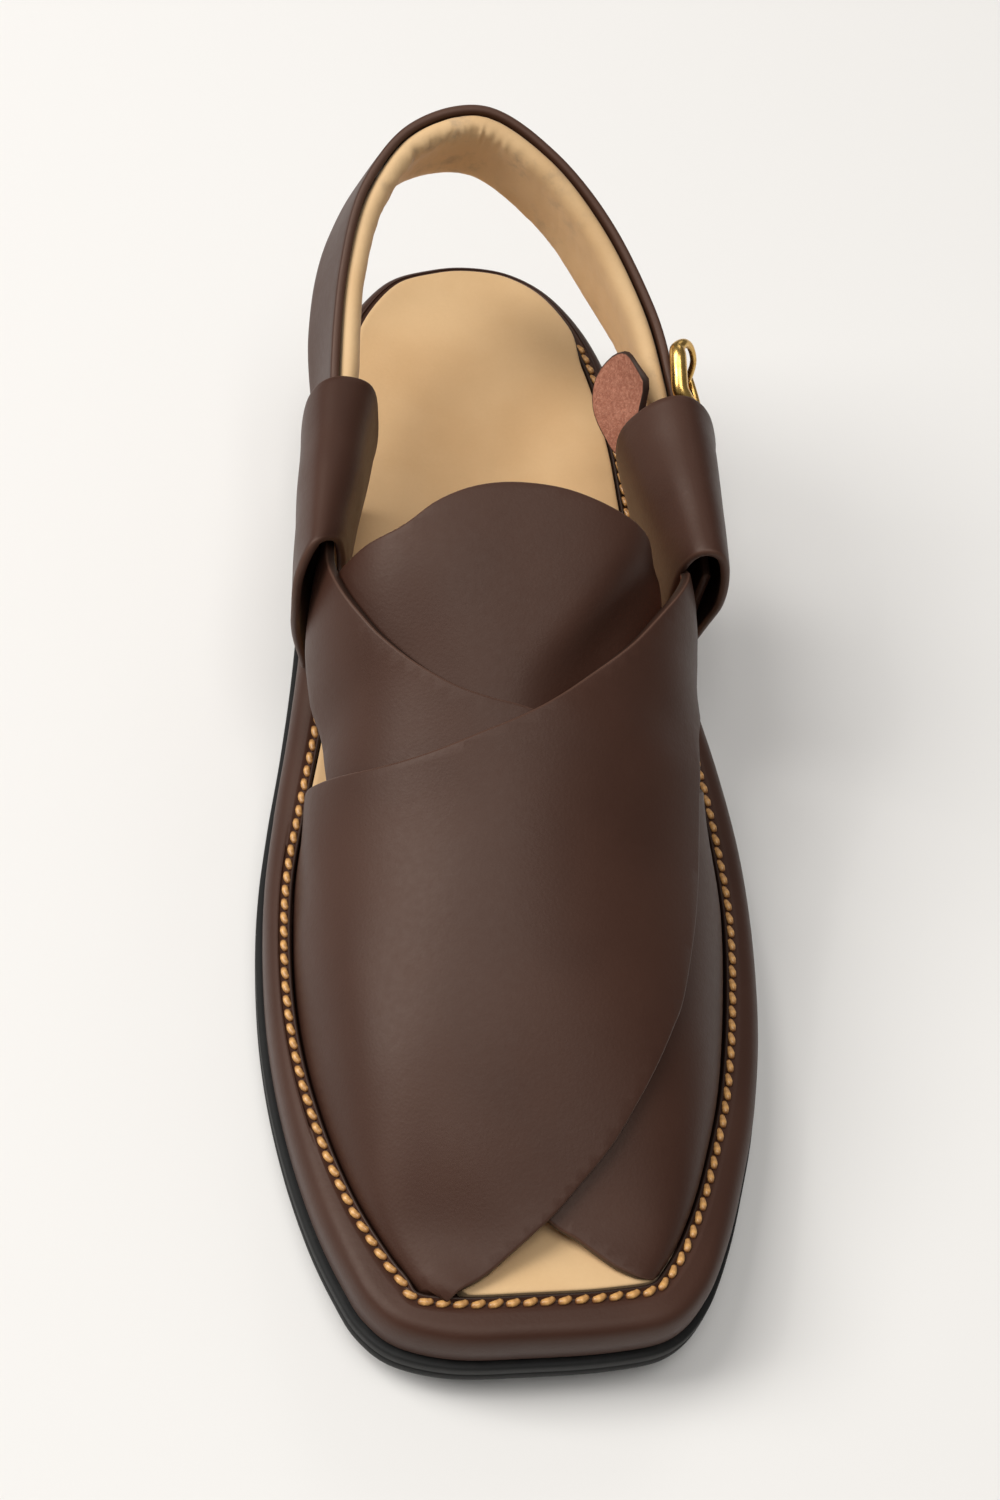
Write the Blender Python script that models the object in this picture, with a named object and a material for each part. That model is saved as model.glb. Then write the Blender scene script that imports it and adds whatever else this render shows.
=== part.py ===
"""Peshawari chappal, left shoe, men's EU 41: a crossed-panel leather sandal with a heel strap.

The shoe stands on its sole. Toe towards -Y, heel towards +Y, +X is its outer (lateral) side, -X its inner
(medial) side, and Z is up from the floor. Sizes below are in millimetres and MM turns them into metres.
"""

import math
from collections import namedtuple

import bmesh
import bpy
from mathutils import Vector
from mathutils.geometry import delaunay_2d_cdt

MM = 0.001
CENTRE_Y = 1.25  # moves the tables' origin to the middle of the shoe
GAP = 0.3  # between two pieces that touch

# Plan of the sole: its edge, going round from the toe over the inner side, and how far in the stitches run.
Edge = namedtuple("Edge", "x y welt")
SOLE_EDGE = [
    Edge(-8.0, -138.5, 8.8),
    Edge(-22.0, -137.8, 8.6),
    Edge(-32.8, -134.4, 7.6),
    Edge(-38.9, -128.6, 8.8),
    Edge(-42.6, -121.0, 8.2),
    Edge(-46.8, -109.0, 7.2),
    Edge(-50.6, -93.0, 6.2),
    Edge(-53.2, -75.0, 5.4),
    Edge(-54.1, -56.0, 5.2),
    Edge(-53.1, -34.0, 5.6),
    Edge(-50.0, -14.0, 6.6),
    Edge(-46.0, 6.0, 7.2),
    Edge(-42.4, 27.0, 7.2),
    Edge(-39.4, 50.0, 7.2),
    Edge(-37.2, 73.0, 7.2),
    Edge(-35.2, 91.0, 7.0),
    Edge(-31.4, 106.0, 6.5),
    Edge(-25.0, 119.5, 5.8),
    Edge(-15.5, 130.5, 5.4),
    Edge(-4.0, 134.9, 5.2),
    Edge(6.5, 136.0, 5.2),
    Edge(17.5, 133.6, 5.2),
    Edge(27.3, 126.2, 5.3),
    Edge(35.0, 113.5, 5.8),
    Edge(39.8, 98.0, 6.5),
    Edge(42.8, 78.0, 6.9),
    Edge(44.0, 58.0, 7.2),
    Edge(45.6, 36.0, 7.2),
    Edge(48.4, 14.0, 7.0),
    Edge(51.7, -7.0, 6.9),
    Edge(53.5, -27.0, 7.3),
    Edge(52.9, -48.0, 7.1),
    Edge(50.2, -70.0, 7.8),
    Edge(45.8, -89.0, 8.0),
    Edge(40.6, -104.0, 8.2),
    Edge(34.8, -118.0, 8.6),
    Edge(28.2, -129.5, 9.0),
    Edge(20.0, -136.4, 8.6),
    Edge(8.0, -138.4, 8.8),
]

# Along the shoe: the height of the platform's stitched rim, then the crossed panels' inner face, as half
# widths on the inner and outer side, the crest's place across the shoe and its height. roundness 2 is an
# ellipse. Where the panels are stitched to the rim the half widths come from the platform's recess instead.
Section = namedtuple("Section", "y rim inner outer crest_x crest_z roundness")
SECTIONS = [
    Section(-140.0, 25.4, 0.0, 0.0, -7.0, 26.2, 8.0),
    Section(-128.0, 24.2, 0.0, 0.0, -6.5, 25.8, 7.0),
    Section(-116.0, 22.9, 0.0, 0.0, -5.0, 27.1, 5.0),
    Section(-100.0, 21.0, 0.0, 0.0, -4.0, 33.0, 3.1),
    Section(-80.0, 19.4, 0.0, 0.0, -4.0, 41.2, 2.2),
    Section(-60.0, 18.4, 45.0, 42.8, -4.0, 47.6, 1.95),
    Section(-40.0, 18.2, 44.2, 42.6, -3.0, 54.0, 1.95),
    Section(-22.0, 18.8, 41.2, 40.9, -1.5, 61.4, 2.3),
    Section(-5.0, 20.4, 40.6, 40.4, 0.0, 69.2, 2.9),
    Section(10.0, 22.2, 40.8, 40.4, 0.5, 76.0, 3.6),
    Section(25.0, 24.2, 38.8, 37.0, 1.0, 82.0, 3.8),
    Section(45.0, 27.0, 33.5, 36.0, 2.0, 86.0, 3.8),
    Section(70.0, 30.6, 28.0, 27.0, 3.0, 88.0, 3.8),
    Section(105.0, 33.8, 26.0, 24.0, 4.0, 90.0, 3.8),
    Section(140.0, 35.9, 20.0, 20.0, 5.0, 90.0, 3.8),
]
INNER_END_Y, OUTER_END_Y = -16.0, -13.0  # behind these lines the panels leave the rim and run to the loops
WING_BLEND = 14.0

OUTLINE_STEPS = 120
TURN_LENGTH = 22.0  # a turn of one radian draws as many outline points to it as this length does
OUTSOLE_THICK = 6.5
SPRING_START_Y = -50.0  # the sole curls up in front of this line
SPRING_RISE = 7.8
SPRING_LENGTH = 90.0
SLOT_PAST_STITCH = 1.5  # from the stitches to the recess that takes the upper's edges
RECESS_DEPTH = 4.0
LEATHER = 2.0


def eased(t):
    """t clamped to 0..1, with a soft start and end."""
    t = min(max(t, 0.0), 1.0)
    return t * t * (3 - 2 * t)


def hermite(a, b, slope_a, slope_b, t):
    """Cubic from a to b with the given slopes per unit of t."""
    t2, t3 = t * t, t * t * t
    return (
        a * (2 * t3 - 3 * t2 + 1) + b * (3 * t2 - 2 * t3) + slope_a * (t3 - 2 * t2 + t) + slope_b * (t3 - t2)
    )


def along(rows, column, y):
    """A column of a table read at y, as a smooth curve through its rows."""
    ys = [row.y for row in rows]
    values = [getattr(row, column) for row in rows]
    y = min(max(y, ys[0]), ys[-1])
    i = max(k for k in range(len(ys) - 1) if ys[k] <= y) if y > ys[0] else 0
    slopes = []
    for k in (i, i + 1):
        before, after = max(k - 1, 0), min(k + 1, len(ys) - 1)
        slopes.append((values[after] - values[before]) / (ys[after] - ys[before]))
    span = ys[i + 1] - ys[i]
    return hermite(values[i], values[i + 1], slopes[0] * span, slopes[1] * span, (y - ys[i]) / span)


def closed_curve(points, steps):
    """Points on a smooth closed curve through the given tuples, closer together where it turns."""
    count, fine = len(points), 24
    dense = []
    for i in range(count):
        before, here, after, later = (points[(i + k) % count] for k in (-1, 0, 1, 2))
        for j in range(fine):
            t = j / fine
            dense.append(
                [
                    hermite(here[c], after[c], (after[c] - before[c]) / 2, (later[c] - here[c]) / 2, t)
                    for c in range(len(here))
                ]
            )
    dense.append(dense[0])
    headings = [math.atan2(q[1] - p[1], q[0] - p[0]) for p, q in zip(dense, dense[1:])]
    reach = [0.0]
    for i, (p, q) in enumerate(zip(dense, dense[1:])):
        turn = abs(math.remainder(headings[i] - headings[i - 1], math.tau))
        reach.append(reach[-1] + math.hypot(q[0] - p[0], q[1] - p[1]) + turn * TURN_LENGTH)
    result, k = [], 0
    for step in range(steps):
        want = reach[-1] * step / steps
        while reach[k + 1] < want:
            k += 1
        t = (want - reach[k]) / (reach[k + 1] - reach[k])
        result.append([p + (q - p) * t for p, q in zip(dense[k], dense[k + 1])])
    return result


def sole_ring(inset):
    """The sole's outline moved inwards: inset(welt) is the distance at a point whose stitches lie welt in."""
    edge = closed_curve([tuple(row) for row in SOLE_EDGE], OUTLINE_STEPS)
    ring = []
    for i, (x, y, welt) in enumerate(edge):
        (x0, y0, _), (x1, y1, _) = edge[i - 1], edge[(i + 1) % len(edge)]
        length = math.hypot(x1 - x0, y1 - y0)
        inward = ((y1 - y0) / length, (x0 - x1) / length)
        # The outline runs clockwise seen from above, from the toe over the inner side to the heel.
        d = inset(welt)
        ring.append((x + inward[0] * d, y + inward[1] * d))
    return ring


def half_width(ring, y, side):
    """How far a ring reaches from X = 0 at y, on side -1 (inner) or +1 (outer)."""
    best = 0.0
    for (x0, y0), (x1, y1) in zip(ring, ring[1:] + ring[:1]):
        if (y0 - y) * (y1 - y) <= 0 and y0 != y1:
            best = max(best, side * (x0 + (x1 - x0) * (y - y0) / (y1 - y0)))
    return best


def rim_height(y):
    """Height of the stitched rim above the floor."""
    return along(SECTIONS, "rim", y)


def floor_curve(y):
    """Height of the sole's underside above the floor."""
    return SPRING_RISE * (max(SPRING_START_Y - y, 0.0) / SPRING_LENGTH) ** 2


SLOT_WALL = sole_ring(lambda welt: welt + SLOT_PAST_STITCH)
SLOT_ROOM = sole_ring(lambda welt: welt + SLOT_PAST_STITCH + GAP)


def panel_half_width(y, side):
    """Half width of the panels' inner face: from the recess where they are stitched, then from the table."""
    from_recess = half_width(SLOT_WALL, y, side) - GAP - LEATHER
    from_table = along(SECTIONS, "outer" if side > 0 else "inner", y)
    share = eased((y - (OUTER_END_Y if side > 0 else INNER_END_Y)) / WING_BLEND)
    return from_recess * (1 - share) + from_table * share


def last_point(y, a):
    """Inner face of the panels at y. a runs from -1 at the inner rim over the crest at 0 to +1 outside."""
    side = 1 if a > 0 else -1
    crest_x = along(SECTIONS, "crest_x", y)
    base = rim_height(y) - RECESS_DEPTH + GAP
    wide = panel_half_width(y, side) - side * crest_x
    high = along(SECTIONS, "crest_z", y) - base
    power = along(SECTIONS, "roundness", y)
    turn = a * math.pi / 2
    across, up = math.sin(turn), math.cos(turn)
    reach = (abs(across) ** power + abs(up) ** power) ** (-1 / power)
    return (crest_x + wide * reach * across, y, base + high * reach * up)


NORMAL_STEP_Y, NORMAL_STEP_A = 0.8, 0.02  # either side of a point, to read the surface's slope there


def last_normal(y, a):
    """Outward normal of the panels' inner face."""
    p = [last_point(y + NORMAL_STEP_Y, a), last_point(y - NORMAL_STEP_Y, a)]
    q = [last_point(y, min(a + NORMAL_STEP_A, 1.0)), last_point(y, max(a - NORMAL_STEP_A, -1.0))]
    along_y = [m - n for m, n in zip(*p)]
    along_a = [m - n for m, n in zip(*q)]
    normal = (
        along_a[1] * along_y[2] - along_a[2] * along_y[1],
        along_a[2] * along_y[0] - along_a[0] * along_y[2],
        along_a[0] * along_y[1] - along_a[1] * along_y[0],
    )
    length = math.sqrt(sum(n * n for n in normal))
    return [n / length for n in normal]


def above_last(y, a, lift):
    """The point lift above the panels' inner face."""
    return [p + n * lift for p, n in zip(last_point(y, a), last_normal(y, a))]


# Outlines on the panels' surface as corners of (a, y): smooth strokes with sharp corners between them.
OVER_PANEL = [
    # the stitched inner side, from the toe to the side opening
    [(-1.0, -123.4), (-1.0, -100.0), (-1.0, -60.0), (-1.0, INNER_END_Y)],
    # the rear edge, up over the instep to the outer loop
    [(-1.0, INNER_END_Y), (-0.84, -19.4), (-0.65, -23.8), (-0.446, -27.3), (-0.289, -27.8), (-0.146, -25.9),
     (0.021, -21.9), (0.177, -15.1), (0.331, -6.9), (0.45, 2.7), (0.55, 12.0), (0.62, 18.0), (0.66, 30.0),
     (0.67, 47.0), (0.65, 56.0), (0.56, 63.0)],
    # the rounded strap tip behind the outer loop
    [(0.56, 63.0), (0.58, 67.0), (0.65, 69.6), (0.73, 66.4), (0.76, 58.0)],
    # the lower edge of the wing and the front edge, down to the toe
    [(0.76, 58.0), (0.76, 40.0), (0.77, 16.0), (0.765, 2.0), (0.7, -8.0), (0.61, -17.0), (0.576, -27.0),
     (0.58, -36.0), (0.575, -45.0), (0.562, -53.0), (0.538, -61.8), (0.488, -74.7), (0.434, -81.8),
     (0.382, -88.3), (0.329, -94.5), (0.25, -102.7), (0.137, -109.8), (0.031, -115.2), (-0.132, -120.9),
     (-0.333, -125.8), (-0.5, -126.6), (-0.75, -125.8), (-1.0, -123.4)],
]
UNDER_PANEL = [
    # the stitched outer side
    [(1.0, -119.8), (1.0, -100.0), (1.0, -60.0), (1.0, OUTER_END_Y)],
    # the edge that runs below the other panel and then on to the inner loop
    [(1.0, OUTER_END_Y), (0.86, -17.5), (0.7, -25.0), (0.55, -30.0), (0.45, -31.0), (0.2, -27.0),
     (0.027, -21.6), (-0.116, -18.9), (-0.236, -15.4), (-0.349, -9.8), (-0.427, -3.4), (-0.489, 3.8),
     (-0.54, 11.0), (-0.575, 17.0), (-0.59, 23.0)],
    # its end inside the inner loop
    [(-0.59, 23.0), (-0.605, 24.6), (-0.63, 23.0)],
    # the wing's lower edge and the front edge, down to the toe
    [(-0.63, 23.0), (-0.69, 16.5), (-0.75, 10.0), (-0.765, 0.0), (-0.75, -12.0), (-0.69, -23.0),
     (-0.65, -34.0), (-0.6, -46.0), (-0.52, -60.0), (-0.44, -76.0), (-0.34, -90.0), (-0.2, -103.0),
     (0.03, -115.0), (0.168, -119.0), (0.292, -122.7), (0.411, -125.6), (0.54, -126.6), (0.78, -123.8),
     (1.0, -119.8)],
]
TONGUE = [
    # the wavy top edge
    [(-0.58, 14.6), (-0.52, 14.4), (-0.478, 14.5), (-0.367, 15.1), (-0.264, 19.0), (-0.151, 21.5),
     (-0.02, 22.2), (0.148, 20.9), (0.307, 17.6), (0.42, 14.6), (0.5, 13.2), (0.57, 12.6)],
    [(0.57, 12.6), (0.57, 2.0), (0.52, -14.0), (0.44, -34.0)],
    [(0.44, -34.0), (0.24, -42.0), (0.0, -44.0), (-0.24, -42.0), (-0.44, -34.0)],
    [(-0.44, -34.0), (-0.52, -14.0), (-0.58, 2.0), (-0.58, 14.6)],
]
MERGE_DISTANCE = 0.02 * MM
PANEL_BITE = 0.4  # how far the upper panel's underside lies inside the lower one where they are joined
ARC_LENGTH = 55.0  # about the length on the leather of a from 0 to 1


def stroke(points, spacing):
    """Points on a smooth open curve through the given (a, y) corners, without the last one."""
    dense, fine = [], 16
    for i in range(len(points) - 1):
        here, after = points[i], points[i + 1]
        before, later = points[max(i - 1, 0)], points[min(i + 2, len(points) - 1)]
        for j in range(fine):
            slopes = [((after[c] - before[c]) / 2, (later[c] - here[c]) / 2) for c in (0, 1)]
            dense.append([hermite(here[c], after[c], *slopes[c], j / fine) for c in (0, 1)])
    dense.append(list(points[-1]))
    reach = [0.0]
    for p, q in zip(dense, dense[1:]):
        reach.append(reach[-1] + math.hypot((q[0] - p[0]) * ARC_LENGTH, q[1] - p[1]))
    steps = max(2, round(reach[-1] / spacing))
    result, k = [], 0
    for step in range(steps):
        want = reach[-1] * step / steps
        while reach[k + 1] < want:
            k += 1
        t = (want - reach[k]) / (reach[k + 1] - reach[k])
        result.append([p + (q - p) * t for p, q in zip(dense[k], dense[k + 1])])
    return result


def inside(polygon, x, y):
    """Whether a point lies in a polygon of (x, y) corners."""
    hit = False
    for (x0, y0), (x1, y1) in zip(polygon, polygon[1:] + polygon[:1]):
        if (y0 > y) != (y1 > y) and x < x0 + (x1 - x0) * (y - y0) / (y1 - y0):
            hit = not hit
    return hit


def nearest_on(polygon, x, y):
    """Distance from a point to a polygon's edge, and the edge's nearest point."""
    best = (math.inf, (x, y))
    for (x0, y0), (x1, y1) in zip(polygon, polygon[1:] + polygon[:1]):
        dx, dy = x1 - x0, y1 - y0
        t = min(max(((x - x0) * dx + (y - y0) * dy) / max(dx * dx + dy * dy, 1e-12), 0.0), 1.0)
        near = (x0 + t * dx, y0 + t * dy)
        best = min(best, (math.hypot(x - near[0], y - near[1]), near))
    return best


EDGE_CLEAR = 0.6  # filling points stay this share of their spacing from the edge


def filled(polygon, spacing):
    """Corners and triangles of a flat polygon with evenly spaced points inside it."""
    xs, ys = [p[0] for p in polygon], [p[1] for p in polygon]
    points = [Vector(p) for p in polygon]
    row_height = spacing * math.sqrt(3) / 2
    for row in range(int((max(ys) - min(ys)) / row_height) + 1):
        y = min(ys) + row * row_height
        for column in range(int((max(xs) - min(xs)) / spacing) + 2):
            x = min(xs) + (column + (row % 2) / 2) * spacing
            if inside(polygon, x, y) and nearest_on(polygon, x, y)[0] > spacing * EDGE_CLEAR:
                points.append(Vector((x, y)))
    corners, _, faces, _, _, _ = delaunay_2d_cdt(points, [], [list(range(len(polygon)))], 1, 1e-5)
    return corners, faces


def new_object(name, build, paint):
    """An object whose mesh build(bm) fills in millimetres."""
    bm = bmesh.new()
    build(bm)
    bmesh.ops.recalc_face_normals(bm, faces=bm.faces)
    bmesh.ops.translate(bm, vec=(0.0, CENTRE_Y, 0.0), verts=bm.verts)
    bmesh.ops.scale(bm, vec=(MM, MM, MM), verts=bm.verts)
    mesh = bpy.data.meshes.new(name)
    bm.to_mesh(mesh)
    bm.free()
    mesh.materials.append(paint)
    obj = bpy.data.objects.new(name, mesh)
    bpy.context.scene.collection.objects.link(obj)
    return obj


def material(name, colour, roughness, metallic=0.0):
    """A Principled BSDF of one colour."""
    paint = bpy.data.materials.new(name)
    paint.use_nodes = True
    shader = paint.node_tree.nodes["Principled BSDF"]
    shader.inputs["Base Color"].default_value = (*colour, 1.0)
    shader.inputs["Roughness"].default_value = roughness
    shader.inputs["Metallic"].default_value = metallic
    paint.diffuse_color = (*colour, 1.0)
    return paint


def loft_rings(bm, rings):
    """Walls between rings of equal length, each a list of (x, y, z)."""
    rows = [[bm.verts.new(p) for p in ring] for ring in rings]
    for low, high in zip(rows, rows[1:]):
        for i in range(len(low)):
            j = (i + 1) % len(low)
            bm.faces.new((low[i], low[j], high[j], high[i]))
    return rows


def cap(bm, row, height, spacing):
    """Closes a ring of vertices with a face that follows height(x, y)."""
    corners, faces = filled([v.co.xy[:] for v in row], spacing)
    verts = list(row) + [bm.verts.new((x, y, height(x, y))) for x, y in corners[len(row):]]
    for face in faces:
        bm.faces.new([verts[i] for i in face])


def at_height(ring, height):
    """Lifts a flat ring to height(x, y)."""
    return [(x, y, height(x, y)) for x, y in ring]


EDGE_ROUND = 1.0
WALL_INSET = 1.3  # from the outsole's edge in to the platform's wall
WALL_LEAN = 0.3  # the wall's foot lies this much further in
ARCH_RISE = 1.2  # the sole's waist clears the floor by this much
ARCH_CENTRE_Y, ARCH_REACH = 26.0, 34.0
CAP_SPACING = 18.0


def sole_underside(_x, y):
    """The underside: flat at heel and forefoot, a shallow arch between them, the toe spring in front."""
    return floor_curve(y) + ARCH_RISE * (1 - eased(abs(y - ARCH_CENTRE_Y) / ARCH_REACH))


def build_outsole(bm):
    """Rubber outsole with rounded edges."""
    def top(x, y):
        return sole_underside(x, y) + OUTSOLE_THICK

    rows = loft_rings(bm, [
        at_height(sole_ring(lambda _: EDGE_ROUND), sole_underside),
        at_height(sole_ring(lambda _: 0.0), lambda x, y: sole_underside(x, y) + EDGE_ROUND),
        at_height(sole_ring(lambda _: 0.0), lambda x, y: top(x, y) - EDGE_ROUND / 2),
        at_height(sole_ring(lambda _: EDGE_ROUND / 2), top),
    ])
    cap(bm, rows[0], sole_underside, CAP_SPACING)
    cap(bm, rows[-1], top, CAP_SPACING)


def rim(_x, y):
    """The rim's height at a point."""
    return rim_height(y)


def recess_floor(_x, y):
    """The height of the recess's floor at a point."""
    return rim_height(y) - RECESS_DEPTH


# The platform's side from the bottom up: inset as a share of the stitches' welt, and depth below the rim.
SHOULDER = [(0.0, 7.0), (0.02, 4.6), (0.12, 2.4), (0.3, 0.9), (0.52, 0.2), (0.8, 0.0)]


def build_midsole(bm):
    """Wrapped platform: a near upright wall, a round shoulder, the stitched rim and the insole's recess."""
    def bottom(x, y):
        return sole_underside(x, y) + OUTSOLE_THICK + GAP

    rings = [at_height(sole_ring(lambda _: WALL_INSET + WALL_LEAN), bottom)]
    for share, depth in SHOULDER:
        ring = sole_ring(lambda welt, share=share: WALL_INSET + (welt - WALL_INSET) * share)
        rings.append(at_height(ring, lambda x, y, depth=depth: rim(x, y) - depth))
    slot = sole_ring(lambda welt: welt + SLOT_PAST_STITCH)
    rings.append(at_height(slot, rim))
    rings.append(at_height(slot, recess_floor))
    rows = loft_rings(bm, rings)
    cap(bm, rows[0], bottom, CAP_SPACING)
    cap(bm, rows[-1], recess_floor, CAP_SPACING)


ROOM_START_Y, ROOM_OPENS_IN = -128.4, 1.4  # where the insole starts to give way to the panels' edges
ROOM_PAST_END, ROOM_CLOSES_IN = 1.0, 4.0  # and how far behind the panels' ends it comes back


def room_for_upper(x, y):
    """How much of the recess's width the panels' edges take at a point of its wall."""
    end = (OUTER_END_Y if x > 0 else INNER_END_Y) + ROOM_PAST_END
    opened = eased((y - ROOM_START_Y) / ROOM_OPENS_IN)
    return (LEATHER + 3 * GAP) * opened * (1 - eased((y - end) / ROOM_CLOSES_IN))


INSOLE_PROUD = 0.5
HEEL_DISH = 2.2
HEEL_DISH_Y, HEEL_DISH_LONG, HEEL_DISH_WIDE = 92.0, 46.0, 30.0
DISH_X = 5.0
INSOLE_X = -4.0  # the line down the middle of the insole
INSOLE_TOP_WIDE, INSOLE_TOP_LONG = 0.972, 0.992  # the top face as a share of the insole's outline
INSOLE_EDGE_ROUND = 1.0
INSOLE_CAP_SPACING = 14.4


def insole_top(x, y):
    """The footbed: a little proud of the rim, with a dish for the heel."""
    far = math.hypot((x - DISH_X) / HEEL_DISH_WIDE, (y - HEEL_DISH_Y) / HEEL_DISH_LONG)
    dish = 0.5 + 0.5 * math.cos(math.pi * min(far, 1.0))
    return rim_height(y) + INSOLE_PROUD - HEEL_DISH * dish


def build_insole(bm):
    """Padded footbed, cut back where the upper's edges go down beside it."""
    ring = [(x - math.copysign(room_for_upper(x, y), x - INSOLE_X), y) for x, y in SLOT_ROOM]
    inner = [(INSOLE_X + (x - INSOLE_X) * INSOLE_TOP_WIDE, y * INSOLE_TOP_LONG) for x, y in ring]
    rows = loft_rings(bm, [
        at_height(ring, lambda x, y: recess_floor(x, y) + GAP),
        at_height(ring, lambda x, y: insole_top(x, y) - INSOLE_EDGE_ROUND),
        at_height(inner, insole_top),
    ])
    cap(bm, rows[0], lambda x, y: recess_floor(x, y) + GAP, CAP_SPACING)
    cap(bm, rows[-1], insole_top, INSOLE_CAP_SPACING)


PANEL_SPACING = 5.0
FOOT_HIGH = 1.0  # above the rim by this much, a panel's point can't be in the recess's wall


def kept_in_slot(point):
    """Moves a point of a panel's foot that would enter the recess's wall back to it."""
    x, y, z = point
    if z > rim_height(y) + FOOT_HIGH or inside(SLOT_ROOM, x, y):
        return point
    return (*nearest_on(SLOT_ROOM, x, y)[1], z)


def sheet_on_last(bm, strokes, lift):
    """A leather sheet on the panels' surface: a closed solid from lift(a, y) to the leather's thickness."""
    outline = [p for part in strokes for p in stroke(part, PANEL_SPACING)]
    flat = [(a * ARC_LENGTH, y) for a, y in outline]
    corners, faces = filled(flat, PANEL_SPACING)
    layers = []
    for extra in (0.0, LEATHER):
        layer = []
        for u, y in corners:
            a = min(max(u / ARC_LENGTH, -1.0), 1.0)
            layer.append(bm.verts.new(kept_in_slot(above_last(y, a, lift(a, y) + extra))))
        layers.append(layer)
    low, high = layers
    for face in faces:
        bm.faces.new([high[i] for i in face])
        bm.faces.new([low[i] for i in reversed(face)])
    count = len(flat)
    for i in range(count):
        j = (i + 1) % count
        bm.faces.new((low[i], low[j], high[j], high[i]))


UNDER_FLAT = [(a * ARC_LENGTH, y) for part in UNDER_PANEL for a, y in stroke(part, PANEL_SPACING)]
RISE_FROM, RISE_OVER = 6.0, 5.0  # the over panel starts to rise this far before the under panel's edge


def over_lift(a, y):
    """How far the over panel's underside lies above the last: on the under panel where that is below."""
    x = a * ARC_LENGTH
    depth = nearest_on(UNDER_FLAT, x, y)[0]
    if not inside(UNDER_FLAT, x, y):
        depth = -depth
    return (LEATHER - PANEL_BITE) * eased((depth + RISE_FROM) / RISE_OVER)


def keep_largest_piece(mesh):
    """Removes the slivers that the join leaves between the two sheets."""
    bm = bmesh.new()
    bm.from_mesh(mesh)
    bmesh.ops.remove_doubles(bm, verts=bm.verts, dist=MERGE_DISTANCE)
    left, pieces = set(bm.verts), []
    while left:
        piece, edge = set(), [left.pop()]
        while edge:
            vert = edge.pop()
            piece.add(vert)
            near = {e.other_vert(vert) for e in vert.link_edges} & left
            left -= near
            edge.extend(near)
        pieces.append(piece)
    pieces.sort(key=len)
    bmesh.ops.delete(bm, geom=[v for piece in pieces[:-1] for v in piece], context="VERTS")
    bm.to_mesh(mesh)
    bm.free()


def build_upper(paint):
    """The two crossed panels, joined where they cross, as one solid."""
    upper = new_object("upper", lambda bm: sheet_on_last(bm, UNDER_PANEL, lambda a, y: 0.0), paint)
    over = new_object("over_panel", lambda bm: sheet_on_last(bm, OVER_PANEL, over_lift), paint)
    join = upper.modifiers.new("join", "BOOLEAN")
    join.operation = "UNION"
    join.solver = "EXACT"
    join.object = over
    bpy.context.view_layer.update()
    graph = bpy.context.evaluated_depsgraph_get()
    joined = bpy.data.meshes.new_from_object(upper.evaluated_get(graph))
    upper.modifiers.clear()
    keep_largest_piece(joined)
    upper.data = joined
    bpy.data.objects.remove(over)
    return upper


# A side loop is a band folded over the heel strap, with both ends standing on the rim. Each row is a point
# on the band's middle, from its outside foot over the top to its inside foot, at its front and rear edge.
LoopPoint = namedtuple("LoopPoint", "front_x front_y front_z rear_x rear_z")
ON_RIM = 0.0
INNER_LOOP = [
    LoopPoint(-40.6, 10.6, ON_RIM, -34.0, ON_RIM),
    LoopPoint(-42.2, 10.6, 31.0, -36.6, 36.0),
    LoopPoint(-43.8, 10.8, 41.0, -39.0, 46.0),
    LoopPoint(-44.6, 11.6, 51.0, -40.0, 56.0),
    LoopPoint(-44.2, 13.0, 60.0, -39.4, 65.0),
    LoopPoint(-42.0, 15.4, 66.8, -36.6, 70.6),
    LoopPoint(-38.6, 16.8, 68.6, -32.2, 72.0),
    LoopPoint(-35.0, 17.2, 65.4, -27.2, 69.4),
    LoopPoint(-33.2, 17.2, 57.0, -25.4, 60.5),
    LoopPoint(-33.0, 17.2, 46.0, -25.0, 49.0),
    LoopPoint(-34.4, 17.2, 34.0, -27.2, 38.0),
    LoopPoint(-36.6, 17.2, ON_RIM, -30.8, ON_RIM),
]
OUTER_LOOP = [
    LoopPoint(44.4, 10.8, ON_RIM, 41.2, ON_RIM),
    LoopPoint(44.9, 10.8, 31.0, 46.4, 32.6),
    LoopPoint(46.2, 11.2, 41.0, 50.8, 39.0),
    LoopPoint(47.4, 12.0, 51.0, 52.3, 48.5),
    LoopPoint(47.0, 12.8, 60.0, 50.8, 59.0),
    LoopPoint(44.6, 13.0, 67.4, 46.8, 67.4),
    LoopPoint(40.6, 13.0, 69.8, 41.0, 71.4),
    LoopPoint(36.6, 14.0, 67.4, 34.8, 69.4),
    LoopPoint(34.7, 15.0, 60.0, 30.2, 61.0),
    LoopPoint(34.8, 15.0, 49.0, 30.6, 49.0),
    LoopPoint(37.2, 15.0, 36.0, 34.6, 37.0),
    LoopPoint(40.6, 15.0, ON_RIM, 38.0, ON_RIM),
]
INNER_LOOP_REAR_Y, OUTER_LOOP_REAR_Y = 59.0, 55.0
LOOP_STATIONS = 6
LOOP_FINE = 2  # points drawn for each row of a loop's table


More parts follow.
